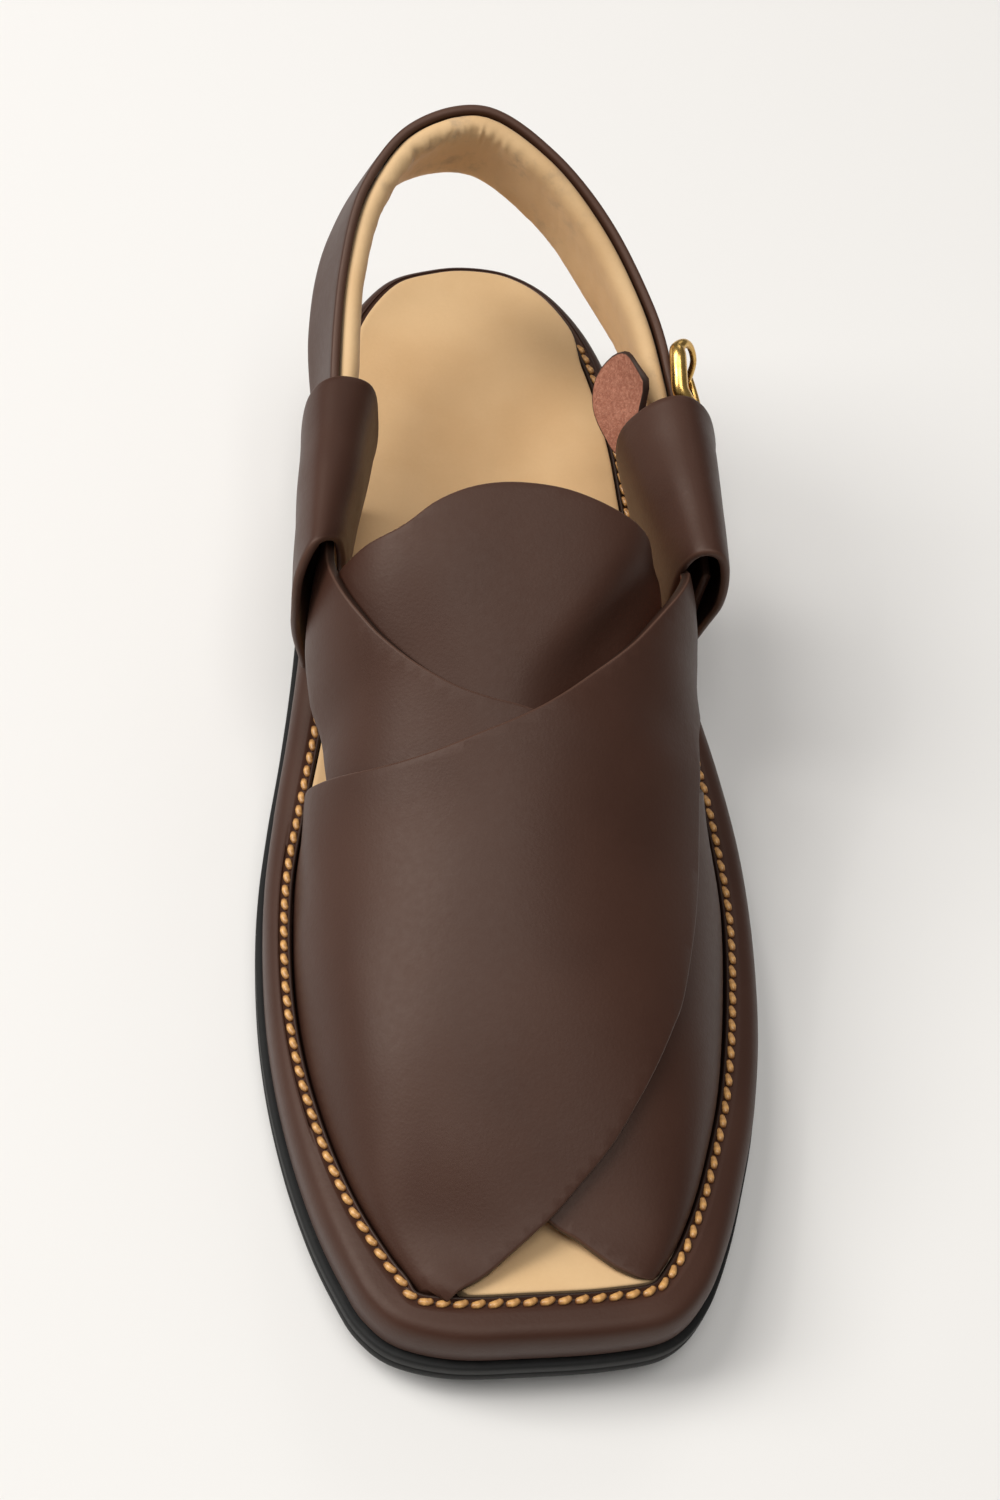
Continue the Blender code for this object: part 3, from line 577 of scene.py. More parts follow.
SLICE_SHIFT = 0.37  # share of a spacing by which slices are moved off an outline's corners
EDGE_TURNS = (0.0, 0.5, 1.05, math.pi / 2)  # angles at which a band's rounded edge has its points


def ring_of(bm: bmesh.types.BMesh, points: Sequence[Point]) -> list[bmesh.types.BMVert]:
    """A closed loop of new vertices and edges.

    Args:
        bm: the mesh.
        points: where the vertices go.

    Returns:
        The vertices.
    """
    verts = [bm.verts.new(p) for p in points]
    for here, after in zip(verts, [*verts[1:], verts[0]]):
        bm.edges.new((here, after))
    return verts


def extruded(
    bm: bmesh.types.BMesh, verts: Sequence[bmesh.types.BMVert], points: Sequence[Point], closed: bool = True
) -> list[bmesh.types.BMVert]:
    """Pulls a row of vertices out to new places.

    Args:
        bm: the mesh.
        verts: the row, joined by edges in its order.
        points: where each vertex's copy goes.
        closed: whether the row's ends are joined.

    Returns:
        The copies, in the row's order.
    """
    ends = [*verts[1:], verts[0]] if closed else verts[1:]
    edges = [bm.edges.get((here, after)) for here, after in zip(verts, ends)]
    made = bmesh.ops.extrude_edge_only(bm, edges=edges)["geom"]
    new = {item for item in made if isinstance(item, bmesh.types.BMVert)}
    row = []
    for vert, place in zip(verts, points):
        copy = next(edge.other_vert(vert) for edge in vert.link_edges if edge.other_vert(vert) in new)
        copy.co = place
        row.append(copy)
    return row


def sliced(bm: bmesh.types.BMesh, outline: Sequence[Point], spacing: float) -> list[bmesh.types.BMVert]:
    """Fills a flat outline and slices it both ways, so that it can bend.

    Args:
        bm: the mesh to make it in.
        outline: the (x, y) corners.
        spacing: distance between the slices.

    Returns:
        The outline's own vertices.
    """
    verts = ring_of(bm, [(*p, 0.0) for p in outline])
    bm.faces.new(verts)
    for axis in (0, 1):
        low = min(p[axis] for p in outline)
        count = int((max(p[axis] for p in outline) - low) / spacing)
        for i in range(1, count + 1):
            place, aim = [0.0, 0.0, 0.0], [0.0, 0.0, 0.0]
            place[axis], aim[axis] = low + (i - SLICE_SHIFT) * spacing, 1.0
            geometry = [*bm.verts, *bm.edges, *bm.faces]
            bmesh.ops.bisect_plane(bm, geom=geometry, dist=WELD, plane_co=place, plane_no=aim)
    return verts


def capped(bm: bmesh.types.BMesh, verts: Sequence[bmesh.types.BMVert], height: Callable[[Point], float],
           spacing: float) -> None:
    """Closes a ring with a sliced face that follows height((x, y)).

    Args:
        bm: the mesh.
        verts: the ring.
        height: gives z at a place.
        spacing: distance between the slices.
    """
    patch = bmesh.new()
    sliced(patch, [vert.co.xy[:] for vert in verts], spacing)
    for vert in patch.verts:
        vert.co.z = height((vert.co.x, vert.co.y))
    part = bpy.data.meshes.new("patch")
    patch.to_mesh(part)
    patch.free()
    bm.from_mesh(part)
    bpy.data.meshes.remove(part)


def skinned(bm: bmesh.types.BMesh, rings: Sequence[Sequence[Point]]) -> list[list[bmesh.types.BMVert]]:
    """A skin over closed rings of equal length, open at both ends.

    Args:
        bm: the mesh to make it in.
        rings: the rings' points.

    Returns:
        Each ring's vertices.
    """
    rows = [ring_of(bm, rings[0])]
    for ring in rings[1:]:
        rows.append(extruded(bm, rows[-1], ring))
    return rows


def band_section(places: Sequence[float], round_off: float) -> list[Point]:
    """Cross-section of a flat leather band with rounded long edges.

    Args:
        places: where its points lie across the band, from one edge to the other.
        round_off: the edges' radius.

    Returns:
        Each point's place, how far beside it the point lies, and its height above the band's middle,
        going all the way round.
    """
    half, r = LEATHER / 2, round_off
    arc = [(r * (1 - math.sin(turn)), half - r + r * math.cos(turn)) for turn in EDGE_TURNS]
    first, *between, last = places
    section = [(place, 0.0, half) for place in between]
    section += [(last, -inset, height) for inset, height in arc]
    section += [(last, -inset, -height) for inset, height in arc[::-1]]
    section += [(place, 0.0, -half) for place in between[::-1]]
    section += [(first, inset, -height) for inset, height in arc]
    section += [(first, inset, height) for inset, height in arc[::-1]]
    return section


def loft(bm: bmesh.types.BMesh, rings: Sequence[Sequence[Point]], capped_ends: bool = True) -> None:
    """A skin over closed rings of equal length, with flat ends.

    Args:
        bm: the mesh to make it in.
        rings: the rings' points.
        capped_ends: whether a face closes the first and last ring.
    """
    verts = ring_of(bm, rings[0])
    if capped_ends:
        bm.faces.new(verts)
    for ring in rings[1:]:
        verts = extruded(bm, verts, ring)
    if capped_ends:
        bm.faces.new(verts)


def tube(bm: bmesh.types.BMesh, path: Sequence[Vector], out: Sequence[Vector], radii: Sequence[float],
         sides: int, closed: bool) -> None:
    """A round bar along a path.

    Args:
        bm: the mesh to make it in.
        path: its middle line.
        out: a direction across the bar at each point.
        radii: the radius at each point.
        sides: points round the bar.
        closed: whether the bar's ends meet.
    """
    rings, count = [], len(path)
    for i, middle in enumerate(path):
        before = path[i - 1] if closed or i else path[0]
        after = path[(i + 1) % count] if closed or i < count - 1 else path[-1]
        forward = (after - before).normalized()
        up = (out[i] - forward * out[i].dot(forward)).normalized()
        aside = forward.cross(up)
        turns = [math.tau * k / sides for k in range(sides)]
        rings.append([middle + (up * math.cos(t) + aside * math.sin(t)) * radii[i] for t in turns])
    if closed:
        rings.append(rings[0])
    loft(bm, rings, capped_ends=not closed)
    if closed:
        bmesh.ops.remove_doubles(bm, verts=bm.verts, dist=WELD)


# --------------------------------------------------------------------------- finishes


@dataclass(frozen=True)
class Term:
    """A number that changes over a surface, so that shader maths reads as Python."""

    recipe: Recipe
    socket: bpy.types.NodeSocket

    def _math(self, operation: str, *values: Term | float) -> Term:
        """A Math node on these values."""
        inputs = {i: value for i, value in enumerate(values)}
        return self.recipe.node("ShaderNodeMath", {"operation": operation}, inputs)

    def __add__(self, other: Term | float) -> Term:
        """self + other."""
        return self._math("ADD", self, other)

    __radd__ = __add__

    def __mul__(self, other: Term | float) -> Term:
        """self * other."""
        return self._math("MULTIPLY", self, other)

    __rmul__ = __mul__

    def __sub__(self, other: Term | float) -> Term:
        """self - other."""
        return self._math("SUBTRACT", self, other)

    def __rsub__(self, other: float) -> Term:
        """other - self."""
        return self._math("SUBTRACT", other, self)

    def between(self, low: float, high: float) -> Term:
        """0 below low, 1 above high, soft in between."""
        settings = {"interpolation_type": "SMOOTHSTEP"}
        return self.recipe.node("ShaderNodeMapRange", settings, {"Value": self, 1: low, 2: high}, "Result")


class Recipe:
    """One material's nodes, made through a single method."""

    # Numbers of a Mix node's colour sockets, whose names its sockets for numbers have too.
    MIX_SHARE, MIX_LOW, MIX_HIGH, MIX_COLOUR = 0, 6, 7, 2

    def __init__(self, name: str) -> None:
        """Starts a material that holds only its Principled BSDF.

        Args:
            name: the material's name.
        """
        self.material = bpy.data.materials.new(name)
        self.material.use_nodes = True
        self.tree = self.material.node_tree
        self.shader = self.tree.nodes["Principled BSDF"]

    def node(self, kind: str, settings: dict[str, object] | None = None,
             inputs: dict[str | int, object] | None = None, output: str | int = 0) -> Term:
        """A node with its settings and the values or links of its sockets.

        Args:
            kind: the node's type.
            settings: attributes, set first.
            inputs: by socket name or number, a Term, a number or a tuple.
            output: the socket to give back.

        Returns:
            The output as a Term.
        """
        node = self.tree.nodes.new(kind)
        for key, value in (settings or {}).items():
            setattr(node, key, value)
        for key, value in (inputs or {}).items():
            self.feed(node.inputs[key], value)
        return Term(self, node.outputs[output])

    def feed(self, socket: bpy.types.NodeSocket, value: object) -> None:
        """Links a Term to a socket, or sets the socket's own value.

        Args:
            socket: the socket.
            value: a Term, a number or a tuple.
        """
        if isinstance(value, Term):
            self.tree.links.new(value.socket, socket)
        else:
            socket.default_value = value

    def set(self, **values: object) -> None:
        """Feeds the shader's sockets, named with _ for a space."""
        for key, value in values.items():
            self.feed(self.shader.inputs[key.replace("_", " ")], value)

    @cached_property
    def place(self) -> Term:
        """Object coordinates, in metres."""
        return self.node("ShaderNodeTexCoord", output="Object")

    def stretched(self, scale: Point) -> Term:
        """Object coordinates scaled along each axis."""
        return self.node("ShaderNodeMapping", inputs={"Vector": self.place, "Scale": scale})

    def attribute(self, name: str) -> Term:
        """A number stored on the mesh's points."""
        return self.node("ShaderNodeAttribute", {"attribute_name": name}, output="Fac")

    def noise(self, size_mm: float, detail: float = 2.0, rough: float = 0.5,
              place: Term | None = None) -> Term:
        """Noise of about 0 to 1.

        Args:
            size_mm: the size of its blobs.
            detail: how many finer layers it has.
            rough: how strong the finer layers are.
            place: where it is read, if not at the object's coordinates.

        Returns:
            The noise.
        """
        scale = 1 / (size_mm * MM)
        inputs = {"Vector": place or self.place, "Scale": scale, "Detail": detail, "Roughness": rough}
        return self.node("ShaderNodeTexNoise", {}, inputs, "Fac")

    def cells(self, size_mm: float, feature: str = "F1") -> Term:
        """Distance into cells that measure size_mm."""
        inputs = {"Vector": self.place, "Scale": 1 / (size_mm * MM)}
        return self.node("ShaderNodeTexVoronoi", {"feature": feature}, inputs, "Distance")

    def mix(self, share: Term | float, low: object, high: object) -> Term:
        """A colour between two.

        Args:
            share: 0 for the low one, 1 for the high one.
            low: a colour or a Term.
            high: a colour or a Term.

        Returns:
            The colour.
        """
        inputs = {self.MIX_SHARE: share, self.MIX_LOW: low, self.MIX_HIGH: high}
        return self.node("ShaderNodeMix", {"data_type": "RGBA"}, inputs, self.MIX_COLOUR)

    def bump(self, height: Term, depth_mm: float, strength: float = 1.0, under: Term | None = None) -> Term:
        """A normal from a height.

        Args:
            height: 0 to 1.
            depth_mm: how deep that height goes.
            strength: the share of it that shows.
            under: the normal of a coarser bump below it.

        Returns:
            The normal.
        """
        inputs = {"Height": height, "Distance": depth_mm * MM, "Strength": strength}
        if under:
            inputs["Normal"] = under
        return self.node("ShaderNodeBump", {}, inputs)


def rgb(red: float, green: float, blue: float) -> Point:
    """A colour from its linear parts, with alpha."""
    return (red, green, blue, 1.0)


@dataclass(frozen=True)
class BrownLeather:
    """Smooth waxed leather with a fine grain, paler at cut edges (partly a painted highlight), darkened with
    painted shade where marked, and rough on the flesh side.
    """

    name: str = "brown_leather"
    deep: Point = rgb(0.044, 0.0165, 0.01)
    base: Point = rgb(0.0535, 0.021, 0.0129)
    # paler cut edge; on the panels kept to the edge's upper part, partly a painted highlight
    cut_and_highlight: Point = rgb(0.12, 0.062, 0.042)
    # painted shade for the panels' lower cut edges and the loops' inner faces; also darkens the rim's lip
    shade_and_dark_lip: Point = rgb(0.012, 0.006, 0.004)
    flesh: Point = rgb(0.50, 0.225, 0.15)
    flesh_deep: Point = rgb(0.33, 0.125, 0.08)
    flesh_red: Point = rgb(0.30, 0.06, 0.04)
    cut_and_highlight_share: float = 0.8
    roughness: float = 0.5
    flesh_roughness: float = 0.45
    specular: float = 0.36
    shine: Point = rgb(1.0, 0.86, 0.76)
    patch_mm: float = 24.0
    patch_range: Point = (0.3, 0.7)
    patch_share: float = 0.75
    mottle_mm: float = 1.6
    nap_mm: float = 0.9
    nap_range: Point = (0.35, 0.7)
    nap_depth_mm: float = 0.35
    grain_mm: float = 0.75
    pore_mm: float = 0.45
    grain_depth_mm: float = 0.05
    swell_mm: float = 17.0
    swell_depth_mm: float = 0.3

    def make(self) -> bpy.types.Material:
        """Mixes the grain side, the paler cut edges (partly a painted highlight), the flesh side, and the
        painted shade and darker rim lip by the points' marks.

        Returns:
            The material.
        """
        recipe = Recipe(self.name)
        cut_and_highlight = recipe.attribute("cut_edge_and_highlight")
        flesh = recipe.attribute("flesh")
        dyed = recipe.attribute("dyed")
        patches = recipe.noise(self.patch_mm, 2.0)
        mottle = recipe.noise(self.mottle_mm, 3.0)
        tone = patches.between(*self.patch_range) * self.patch_share + mottle * (1 - self.patch_share)
        colour = recipe.mix(tone, self.deep, self.base)
        # paler cut edges, partly a painted highlight
        colour = recipe.mix(cut_and_highlight * self.cut_and_highlight_share, colour, self.cut_and_highlight)
        nap = recipe.noise(self.nap_mm, 4.0, 0.7)
        suede = recipe.mix(nap.between(*self.nap_range), self.flesh_deep, self.flesh)
        suede = recipe.mix(dyed, suede, self.flesh_red)
        colour = recipe.mix(flesh, colour, suede)
        # painted shade, and the darker rim lip, where the points are marked
        colour = recipe.mix(recipe.attribute("shade_and_dark_lip"), colour, self.shade_and_dark_lip)
        grain = recipe.cells(self.grain_mm) * 0.6 + recipe.noise(self.pore_mm, 2.0) * 0.6
        swell = recipe.bump(recipe.noise(self.swell_mm, 2.0), self.swell_depth_mm, 0.25)
        napped = recipe.bump(nap * flesh, self.nap_depth_mm, 0.8, swell)
        rough = self.roughness + (mottle - 0.5) * 0.1 + (patches - 0.5) * 0.08 + flesh * self.flesh_roughness
        recipe.set(
            Base_Color=colour,
            Roughness=rough,
            Normal=recipe.bump(grain, self.grain_depth_mm, 0.5, napped),
        )
        recipe.shader.inputs["Specular IOR Level"].default_value = self.specular
        recipe.shader.inputs["Specular Tint"].default_value = self.shine
        return recipe.material


@dataclass(frozen=True)
class TanLeather:
    """Soft lining leather with a fine grain, a few smudges, painted shade in the lining's fold valleys, and
    small pores.
    """

    name: str = "tan_leather"
    base: Point = rgb(0.75, 0.51, 0.27)
    warm: Point = rgb(0.66, 0.42, 0.205)
    # the smudges' colour: dirt, and painted shade in the lining's fold valleys
    smudge_and_shade: Point = rgb(0.26, 0.19, 0.14)
    soil_and_shade: float = 0.0
    least_soil_and_shade: float = 0.35
    cut_and_highlight_share: float = 0.35
    roughness: float = 0.62
    specular: float = 0.3
    sheen: float = 0.12
    patch_mm: float = 32.0
    patch_range: Point = (0.32, 0.68)
    patch_share: float = 0.7
    mottle_share: float = 0.3
    mottle_mm: float = 0.8
    blot_mm: float = 7.0
    blot_range: Point = (0.5, 0.78)
    grain_mm: float = 0.9
    pore_mm: float = 0.5
    grain_depth_mm: float = 0.06
    fold_mm: float = 9.0
    fold_depth_mm: float = 0.6

    def make(self) -> bpy.types.Material:
        """Mixes two tans, smudged with dirt and darkened with painted shade in fold valleys where the points
        are marked.

        Returns:
            The material.
        """
        recipe = Recipe(self.name)
        patches = recipe.noise(self.patch_mm, 3.0)
        mottle = recipe.noise(self.mottle_mm, 3.0)
        tone = patches.between(*self.patch_range) * self.patch_share + mottle * self.mottle_share
        colour = recipe.mix(tone, self.warm, self.base)
        # smudges where marked: dirt, and painted shade in the fold valleys
        blot_and_shade = recipe.noise(self.blot_mm, 4.0, 0.65).between(*self.blot_range) * recipe.attribute("soil_and_crease_shade")
        colour = recipe.mix(blot_and_shade * (self.least_soil_and_shade + self.soil_and_shade), colour, self.smudge_and_shade)
        # paler cut edges, partly a painted highlight
        colour = recipe.mix(recipe.attribute("cut_edge_and_highlight") * self.cut_and_highlight_share, colour, self.warm)
        grain = recipe.cells(self.grain_mm, "SMOOTH_F1") * 0.7 + recipe.noise(self.pore_mm, 2.0) * 0.5
        folds = recipe.bump(recipe.noise(self.fold_mm, 3.0), self.fold_depth_mm, 0.35)
        recipe.set(
            Base_Color=colour,
            Roughness=self.roughness + (mottle - 0.5) * 0.12,
            Normal=recipe.bump(grain, self.grain_depth_mm, 0.5, folds),
        )
        recipe.shader.inputs["Specular IOR Level"].default_value = self.specular
        recipe.shader.inputs["Sheen Weight"].default_value = self.sheen
        return recipe.material


@dataclass(frozen=True)
class BlackRubber:
    """Moulded rubber, dusty and lightly scuffed."""

    name: str = "black_rubber"
    base: Point = rgb(0.0085, 0.0085, 0.0082)
    dust: Point = rgb(0.026, 0.025, 0.023)
    roughness: float = 0.58
    specular: float = 0.3
    scuff_mm: float = 3.0
    scuff_range: Point = (0.45, 0.8)
    scuff_depth_mm: float = 0.2
    flattened: Point = (1.0, 1.0, 3.0)  # scuffs are longer along the wall than up it
    patch_mm: float = 18.0
    grit_mm: float = 0.6
    grit_depth_mm: float = 0.08

    def make(self) -> bpy.types.Material:
        """Dusts the rubber in patches, where it is scuffed.

        Returns:
            The material.
        """
        recipe = Recipe(self.name)
        scuff = recipe.noise(self.scuff_mm, 5.0, 0.7, recipe.stretched(self.flattened))
        patches = recipe.noise(self.patch_mm, 3.0)
        grit = recipe.noise(self.grit_mm, 4.0, 0.7)
        recipe.set(
            Base_Color=recipe.mix(scuff.between(*self.scuff_range) * patches, self.base, self.dust),
            Roughness=self.roughness + scuff * 0.2,
            Normal=recipe.bump(grit, self.grit_depth_mm, 0.5, recipe.bump(scuff, self.scuff_depth_mm, 0.3)),
        )
        recipe.shader.inputs["Specular IOR Level"].default_value = self.specular
        return recipe.material


@dataclass(frozen=True)
class GoldThread:
    """Waxed golden thread with its twist, painted darker at each stitch's ends and between its strands as
    painted shade, and lighter in the middle as a painted highlight.
    """

    name: str = "gold_thread"
    base: Point = rgb(0.84, 0.46, 0.155)
    shade_colour: Point = rgb(0.17, 0.055, 0.015)
    roughness: float = 0.24
    fibre_mm: float = 0.35
    fibre_depth_mm: float = 0.08
    wear_mm: float = 14.0
    least_light: float = 0.75

    def make(self) -> bpy.types.Material:
        """Darkens the thread between its strands and at each stitch's ends as painted shade, and lightens its
        middle as a painted highlight, by the points' marks.

        Returns:
            The material.
        """
        recipe = Recipe(self.name)
        painted_light = recipe.attribute("painted_light")
        fibre = recipe.noise(self.fibre_mm, 3.0)
        wear = recipe.noise(self.wear_mm, 2.0)
        # painted light: darker at the stitch's ends and between its strands as painted shade, lighter in the
        # middle as a painted highlight
        light = painted_light * (self.least_light + wear * 0.3) + (fibre - 0.5) * 0.3
        recipe.set(
            Base_Color=recipe.mix(light, self.shade_colour, self.base),
            Roughness=self.roughness + fibre * 0.14,
            Normal=recipe.bump(fibre, self.fibre_depth_mm, 0.5),
        )
        return recipe.material


@dataclass(frozen=True)
class Brass:
    """Polished brass with fine handling marks."""

    name: str = "polished_brass"
    base: Point = rgb(0.78, 0.50, 0.155)
    dull: Point = rgb(0.52, 0.30, 0.085)
    roughness: float = 0.2
    mark_mm: float = 2.2
    mark_range: Point = (0.35, 0.75)
    dent_mm: float = 0.8
    dent_depth_mm: float = 0.03

    def make(self) -> bpy.types.Material:
        """Dulls the brass in small marks.

        Returns:
            The material.
        """
        recipe = Recipe(self.name)
        mark = recipe.noise(self.mark_mm, 4.0, 0.65)
        recipe.set(
            Base_Color=recipe.mix(mark.between(*self.mark_range), self.base, self.dull),
            Roughness=self.roughness + mark * 0.14,
            Normal=recipe.bump(recipe.noise(self.dent_mm, 3.0), self.dent_depth_mm, 0.4),
        )
        recipe.shader.inputs["Metallic"].default_value = 1.0
        return recipe.material


@dataclass(frozen=True)
class Paper:
    """The pale floor."""

    name: str = "floor"
    base: Point = rgb(0.86, 0.845, 0.825)
    shade: Point = rgb(0.83, 0.815, 0.79)
    patch_mm: float = 400.0
    roughness: float = 0.75
    specular: float = 0.2

    def make(self) -> bpy.types.Material:
        """Mixes two pale tones in wide patches.

        Returns:
            The material.
        """
        recipe = Recipe(self.name)
        recipe.set(Base_Color=recipe.mix(recipe.noise(self.patch_mm, 2.0), self.base, self.shade))
        recipe.shader.inputs["Roughness"].default_value = self.roughness
        recipe.shader.inputs["Specular IOR Level"].default_value = self.specular
        return recipe.material


# --------------------------------------------------------------------------- workbench


class Workbench:
    """Turns finished meshes into pieces of the shoe, and reports them."""

    def __init__(self, sole: SoleForm) -> None:
        """Works out from the outsole how far the pattern's frame lies from the loaded one.

        Args:
            sole: the sole in the pattern's frame.
        """
        low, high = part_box("outsole")
        ys = [y for _, y, _ in sole.edge]
        self.shift_y = (low.y + high.y) / 2 / MM - (min(ys) + max(ys)) / 2

    def piece(self, name: str, bm: bmesh.types.BMesh, paint: bpy.types.Material, slot: Slot,
              nodes: Sequence[str] = ()) -> bpy.types.Object:
        """Makes a piece that rides on the shoe.

        Args:
            name: the piece's name.
            bm: its mesh in the pattern's millimetres; its faces are turned outwards here, and it is freed.
            paint: its material.
            slot: a slot of the record; not used.
            nodes: the model's nodes it stands for.

        Returns:
            The new object.
        """
        bmesh.ops.recalc_face_normals(bm, faces=bm.faces)
        bmesh.ops.translate(bm, vec=(0.0, self.shift_y, 0.0), verts=bm.verts)
        bmesh.ops.scale(bm, vec=(MM, MM, MM), verts=bm.verts)
        mesh = bpy.data.meshes.new(name)
        bm.to_mesh(mesh)
        bm.free()
        mesh.shade_smooth()
        mesh.materials.append(paint)
        obj = bpy.data.objects.new(name, mesh)
        bpy.context.scene.collection.objects.link(obj)
        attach(obj, BODY)
        if nodes:
            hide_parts(*nodes)
        log.info("%s: %d faces", name, len(mesh.polygons))
        return obj


@dataclass
class Kit:
    """What every sub-assembly needs."""

    bench: Workbench
    sole: SoleForm
    panels: PanelForm
    brown: bpy.types.Material
    tan: bpy.types.Material
    lining: bpy.types.Material
    rubber: bpy.types.Material
    thread: bpy.types.Material
    brass: bpy.types.Material


# --------------------------------------------------------------------------- sole


@dataclass
class SoleUnit:
    """Rubber outsole, wrapped platform with its stitches, and the padded insole."""

    kit: Kit
    wall_inset: float = 1.3
    pitch: float = 3.25
    stitch_wide: float = 0.72
    stitch_high: float = 0.66
    stitch_long: float = 0.465  # half a stitch, as a share of the pitch
    stitch_sunk: float = 0.05
    stitch_slant: float = 0.3
    stitch_blunt: float = 3.4
    strand_turn: float = 5.0
    strand_proud: float = 0.1
    # how much darker the thread is painted between its strands, as painted shade
    strand_light: float = 0.26
    # How far apart the slices of a closing face lie: below, hidden inside, and on the footbed.
    below_slices: float = 8.0
    hidden_slices: float = 12.0
    footbed_slices: float = 2.5
    # Towards the toe the shoulder's upper part is squarer, and a shallow crease runs outside the stitches.
    crease_depth: float = 0.12
    crease_share: float = 0.6
    crease_reach: float = 0.16
    crease_start: float = -96.0
    crease_fade: float = 20.0
    toe_square: float = 0.3
    square_depth: float = 1.6
    square_reach: float = 3.2
    square_start: float = -112.0
    square_fade: float = 16.0
    # The rim's raw edge, a lip round the recess: the last rows of the stitch bed, and how dark they are.
    lip_rows: int = 5
    lip_darkness: float = 0.75
    # The insole leaves room for the panels' edges in front of the side openings, except across the toe's.
    inner_room_end: float = -26.0
    room_fade: float = 4.0
    toe_gap_x: float = 2.0
    toe_gap_half: float = 21.0
    toe_gap_y: float = -118.0
    # Round the heel the insole rises and covers the rim, except on the outer side.
    insole_proud: float = 0.5
    heel_proud: float = 0.6
    heel_cover: float = 1.7
    heel_start: float = 100.0
    heel_fade: float = 12.0
    heel_outer_x: float = 37.0
    heel_outer_fade: float = 9.0
    dish_depth: float = 2.2
    dish_x: float = 5.0
    dish_y: float = 92.0
    dish_long: float = 46.0
    dish_wide: float = 30.0
    footbed_soft: float = 0.22
    # The platform's lower edge from the bottom up: how far in, and how high above its underside.
    platform_foot: tuple[Point, ...] = ((0.9, 0.0), (0.3, 0.35), (0.0, 1.2))
    # The outsole's wall from the bottom up: how far in, and how high above its underside.
    outsole_wall: tuple[Point, ...] = (
        (1.3, 0.0), (0.5, 0.2), (0.1, 0.7), (0.0, 1.4), (0.0, 3.0), (0.22, 3.25), (0.22, 3.5), (0.0, 3.75),
        (0.0, 5.7), (0.1, 6.15), (0.4, 6.43), (1.0, 6.5),
    )
    # The platform's shoulder: inset as a share of the way to the stitches, and depth below the rim.
    shoulder: tuple[Point, ...] = (
        (0.0, 7.6), (-0.01, 6.4), (0.0, 5.3), (0.025, 4.2), (0.07, 3.2), (0.14, 2.3), (0.23, 1.55),
        (0.34, 0.95), (0.47, 0.5), (0.6, 0.2), (0.73, 0.03),
    )
    # Across the stitch line: inset past it, and depth below the rim.
    stitch_bed: tuple[Point, ...] = (
        (-1.35, 0.0), (-0.85, 0.25), (-0.1, 0.5), (0.5, 0.3), (0.72, -0.25), (0.95, -0.5), (1.25, -0.45),
        (1.45, -0.1), (1.5, 0.6), (1.5, 4.0),
    )
    # The insole's edge from below: how far in, how deep below its top, and its share of the heel's overlap.
    insole_edge: tuple[Point, ...] = (
        (0.0, 3.6, 0.0), (0.0, 0.95, 0.0), (0.05, 0.78, 1.0), (0.0, 0.5, 1.0), (0.1, 0.25, 1.0),
        (0.4, 0.07, 1.0), (1.1, 0.0, 1.0),
    )

    def build(self) -> None:
        """Makes every piece of the sole."""
        self._outsole()
        self._platform()
        self._insole()
        self._stitches()

    @staticmethod
    def _lift(ring: Sequence[Point], height: Callable[[float], float]) -> list[Point]:
        """Lifts a flat ring to a height that depends on y."""
        return [(x, y, height(y)) for x, y in ring]

    def _outsole(self) -> None:
        """Rubber sole with rounded edges and a moulded line round its side."""
        sole, bm = self.kit.sole, bmesh.new()
        rings = [
            self._lift(sole.ring(lambda _, inset=inset: inset), lambda y, rise=rise: sole.underside(y) + rise)
            for inset, rise in self.outsole_wall
        ]
        rows = skinned(bm, rings)
        capped(bm, rows[0], lambda p: sole.underside(p[1]), self.below_slices)
        capped(bm, rows[-1], lambda p: sole.underside(p[1]) + sole.OUTSOLE_THICK, self.hidden_slices)
        bmesh.ops.remove_doubles(bm, verts=bm.verts, dist=WELD)
        self.kit.bench.piece("outsole_rubber", bm, self.kit.rubber, Slot.RUBBER, ["outsole"])

    def _platform(self) -> None:
        """Foam wedge wrapped in brown leather, with the stitched rim and the recess inside it."""
        sole, bm, inset = self.kit.sole, bmesh.new(), self.wall_inset
        low = sole.OUTSOLE_THICK + GAP
        rings = [
            self._lift(sole.ring(lambda _, more=more: inset + more),
                       lambda y, rise=rise: sole.underside(y) + low + rise)
            for more, rise in self.platform_foot
        ]
        for share, depth in self.shoulder:
            ring = sole.ring(lambda welt, share=share: inset + (welt - inset) * share)
            rings.append(
                self._lift(ring, lambda y, share=share, depth=depth: self._shoulder_z(share, depth, y))
            )
        for past, depth in self.stitch_bed:
            ring = sole.ring(lambda welt, past=past: welt + past)
            rings.append(self._lift(ring, lambda y, depth=depth: sole.rim(y) - depth))
        shade_and_dark_lip = bm.verts.layers.float.new("shade_and_dark_lip")
        rows = skinned(bm, rings)
        for row in rows[-self.lip_rows:]:
            for vert in row:
                vert[shade_and_dark_lip] = self.lip_darkness
        capped(bm, rows[0], lambda p: sole.underside(p[1]) + low, self.hidden_slices)
        capped(bm, rows[-1], lambda p: sole.rim(p[1]) - sole.RECESS_DEPTH, self.hidden_slices)
        bmesh.ops.remove_doubles(bm, verts=bm.verts, dist=WELD)
        self.kit.bench.piece("platform_wrap", bm, self.kit.brown, Slot.BROWN, ["midsole"])

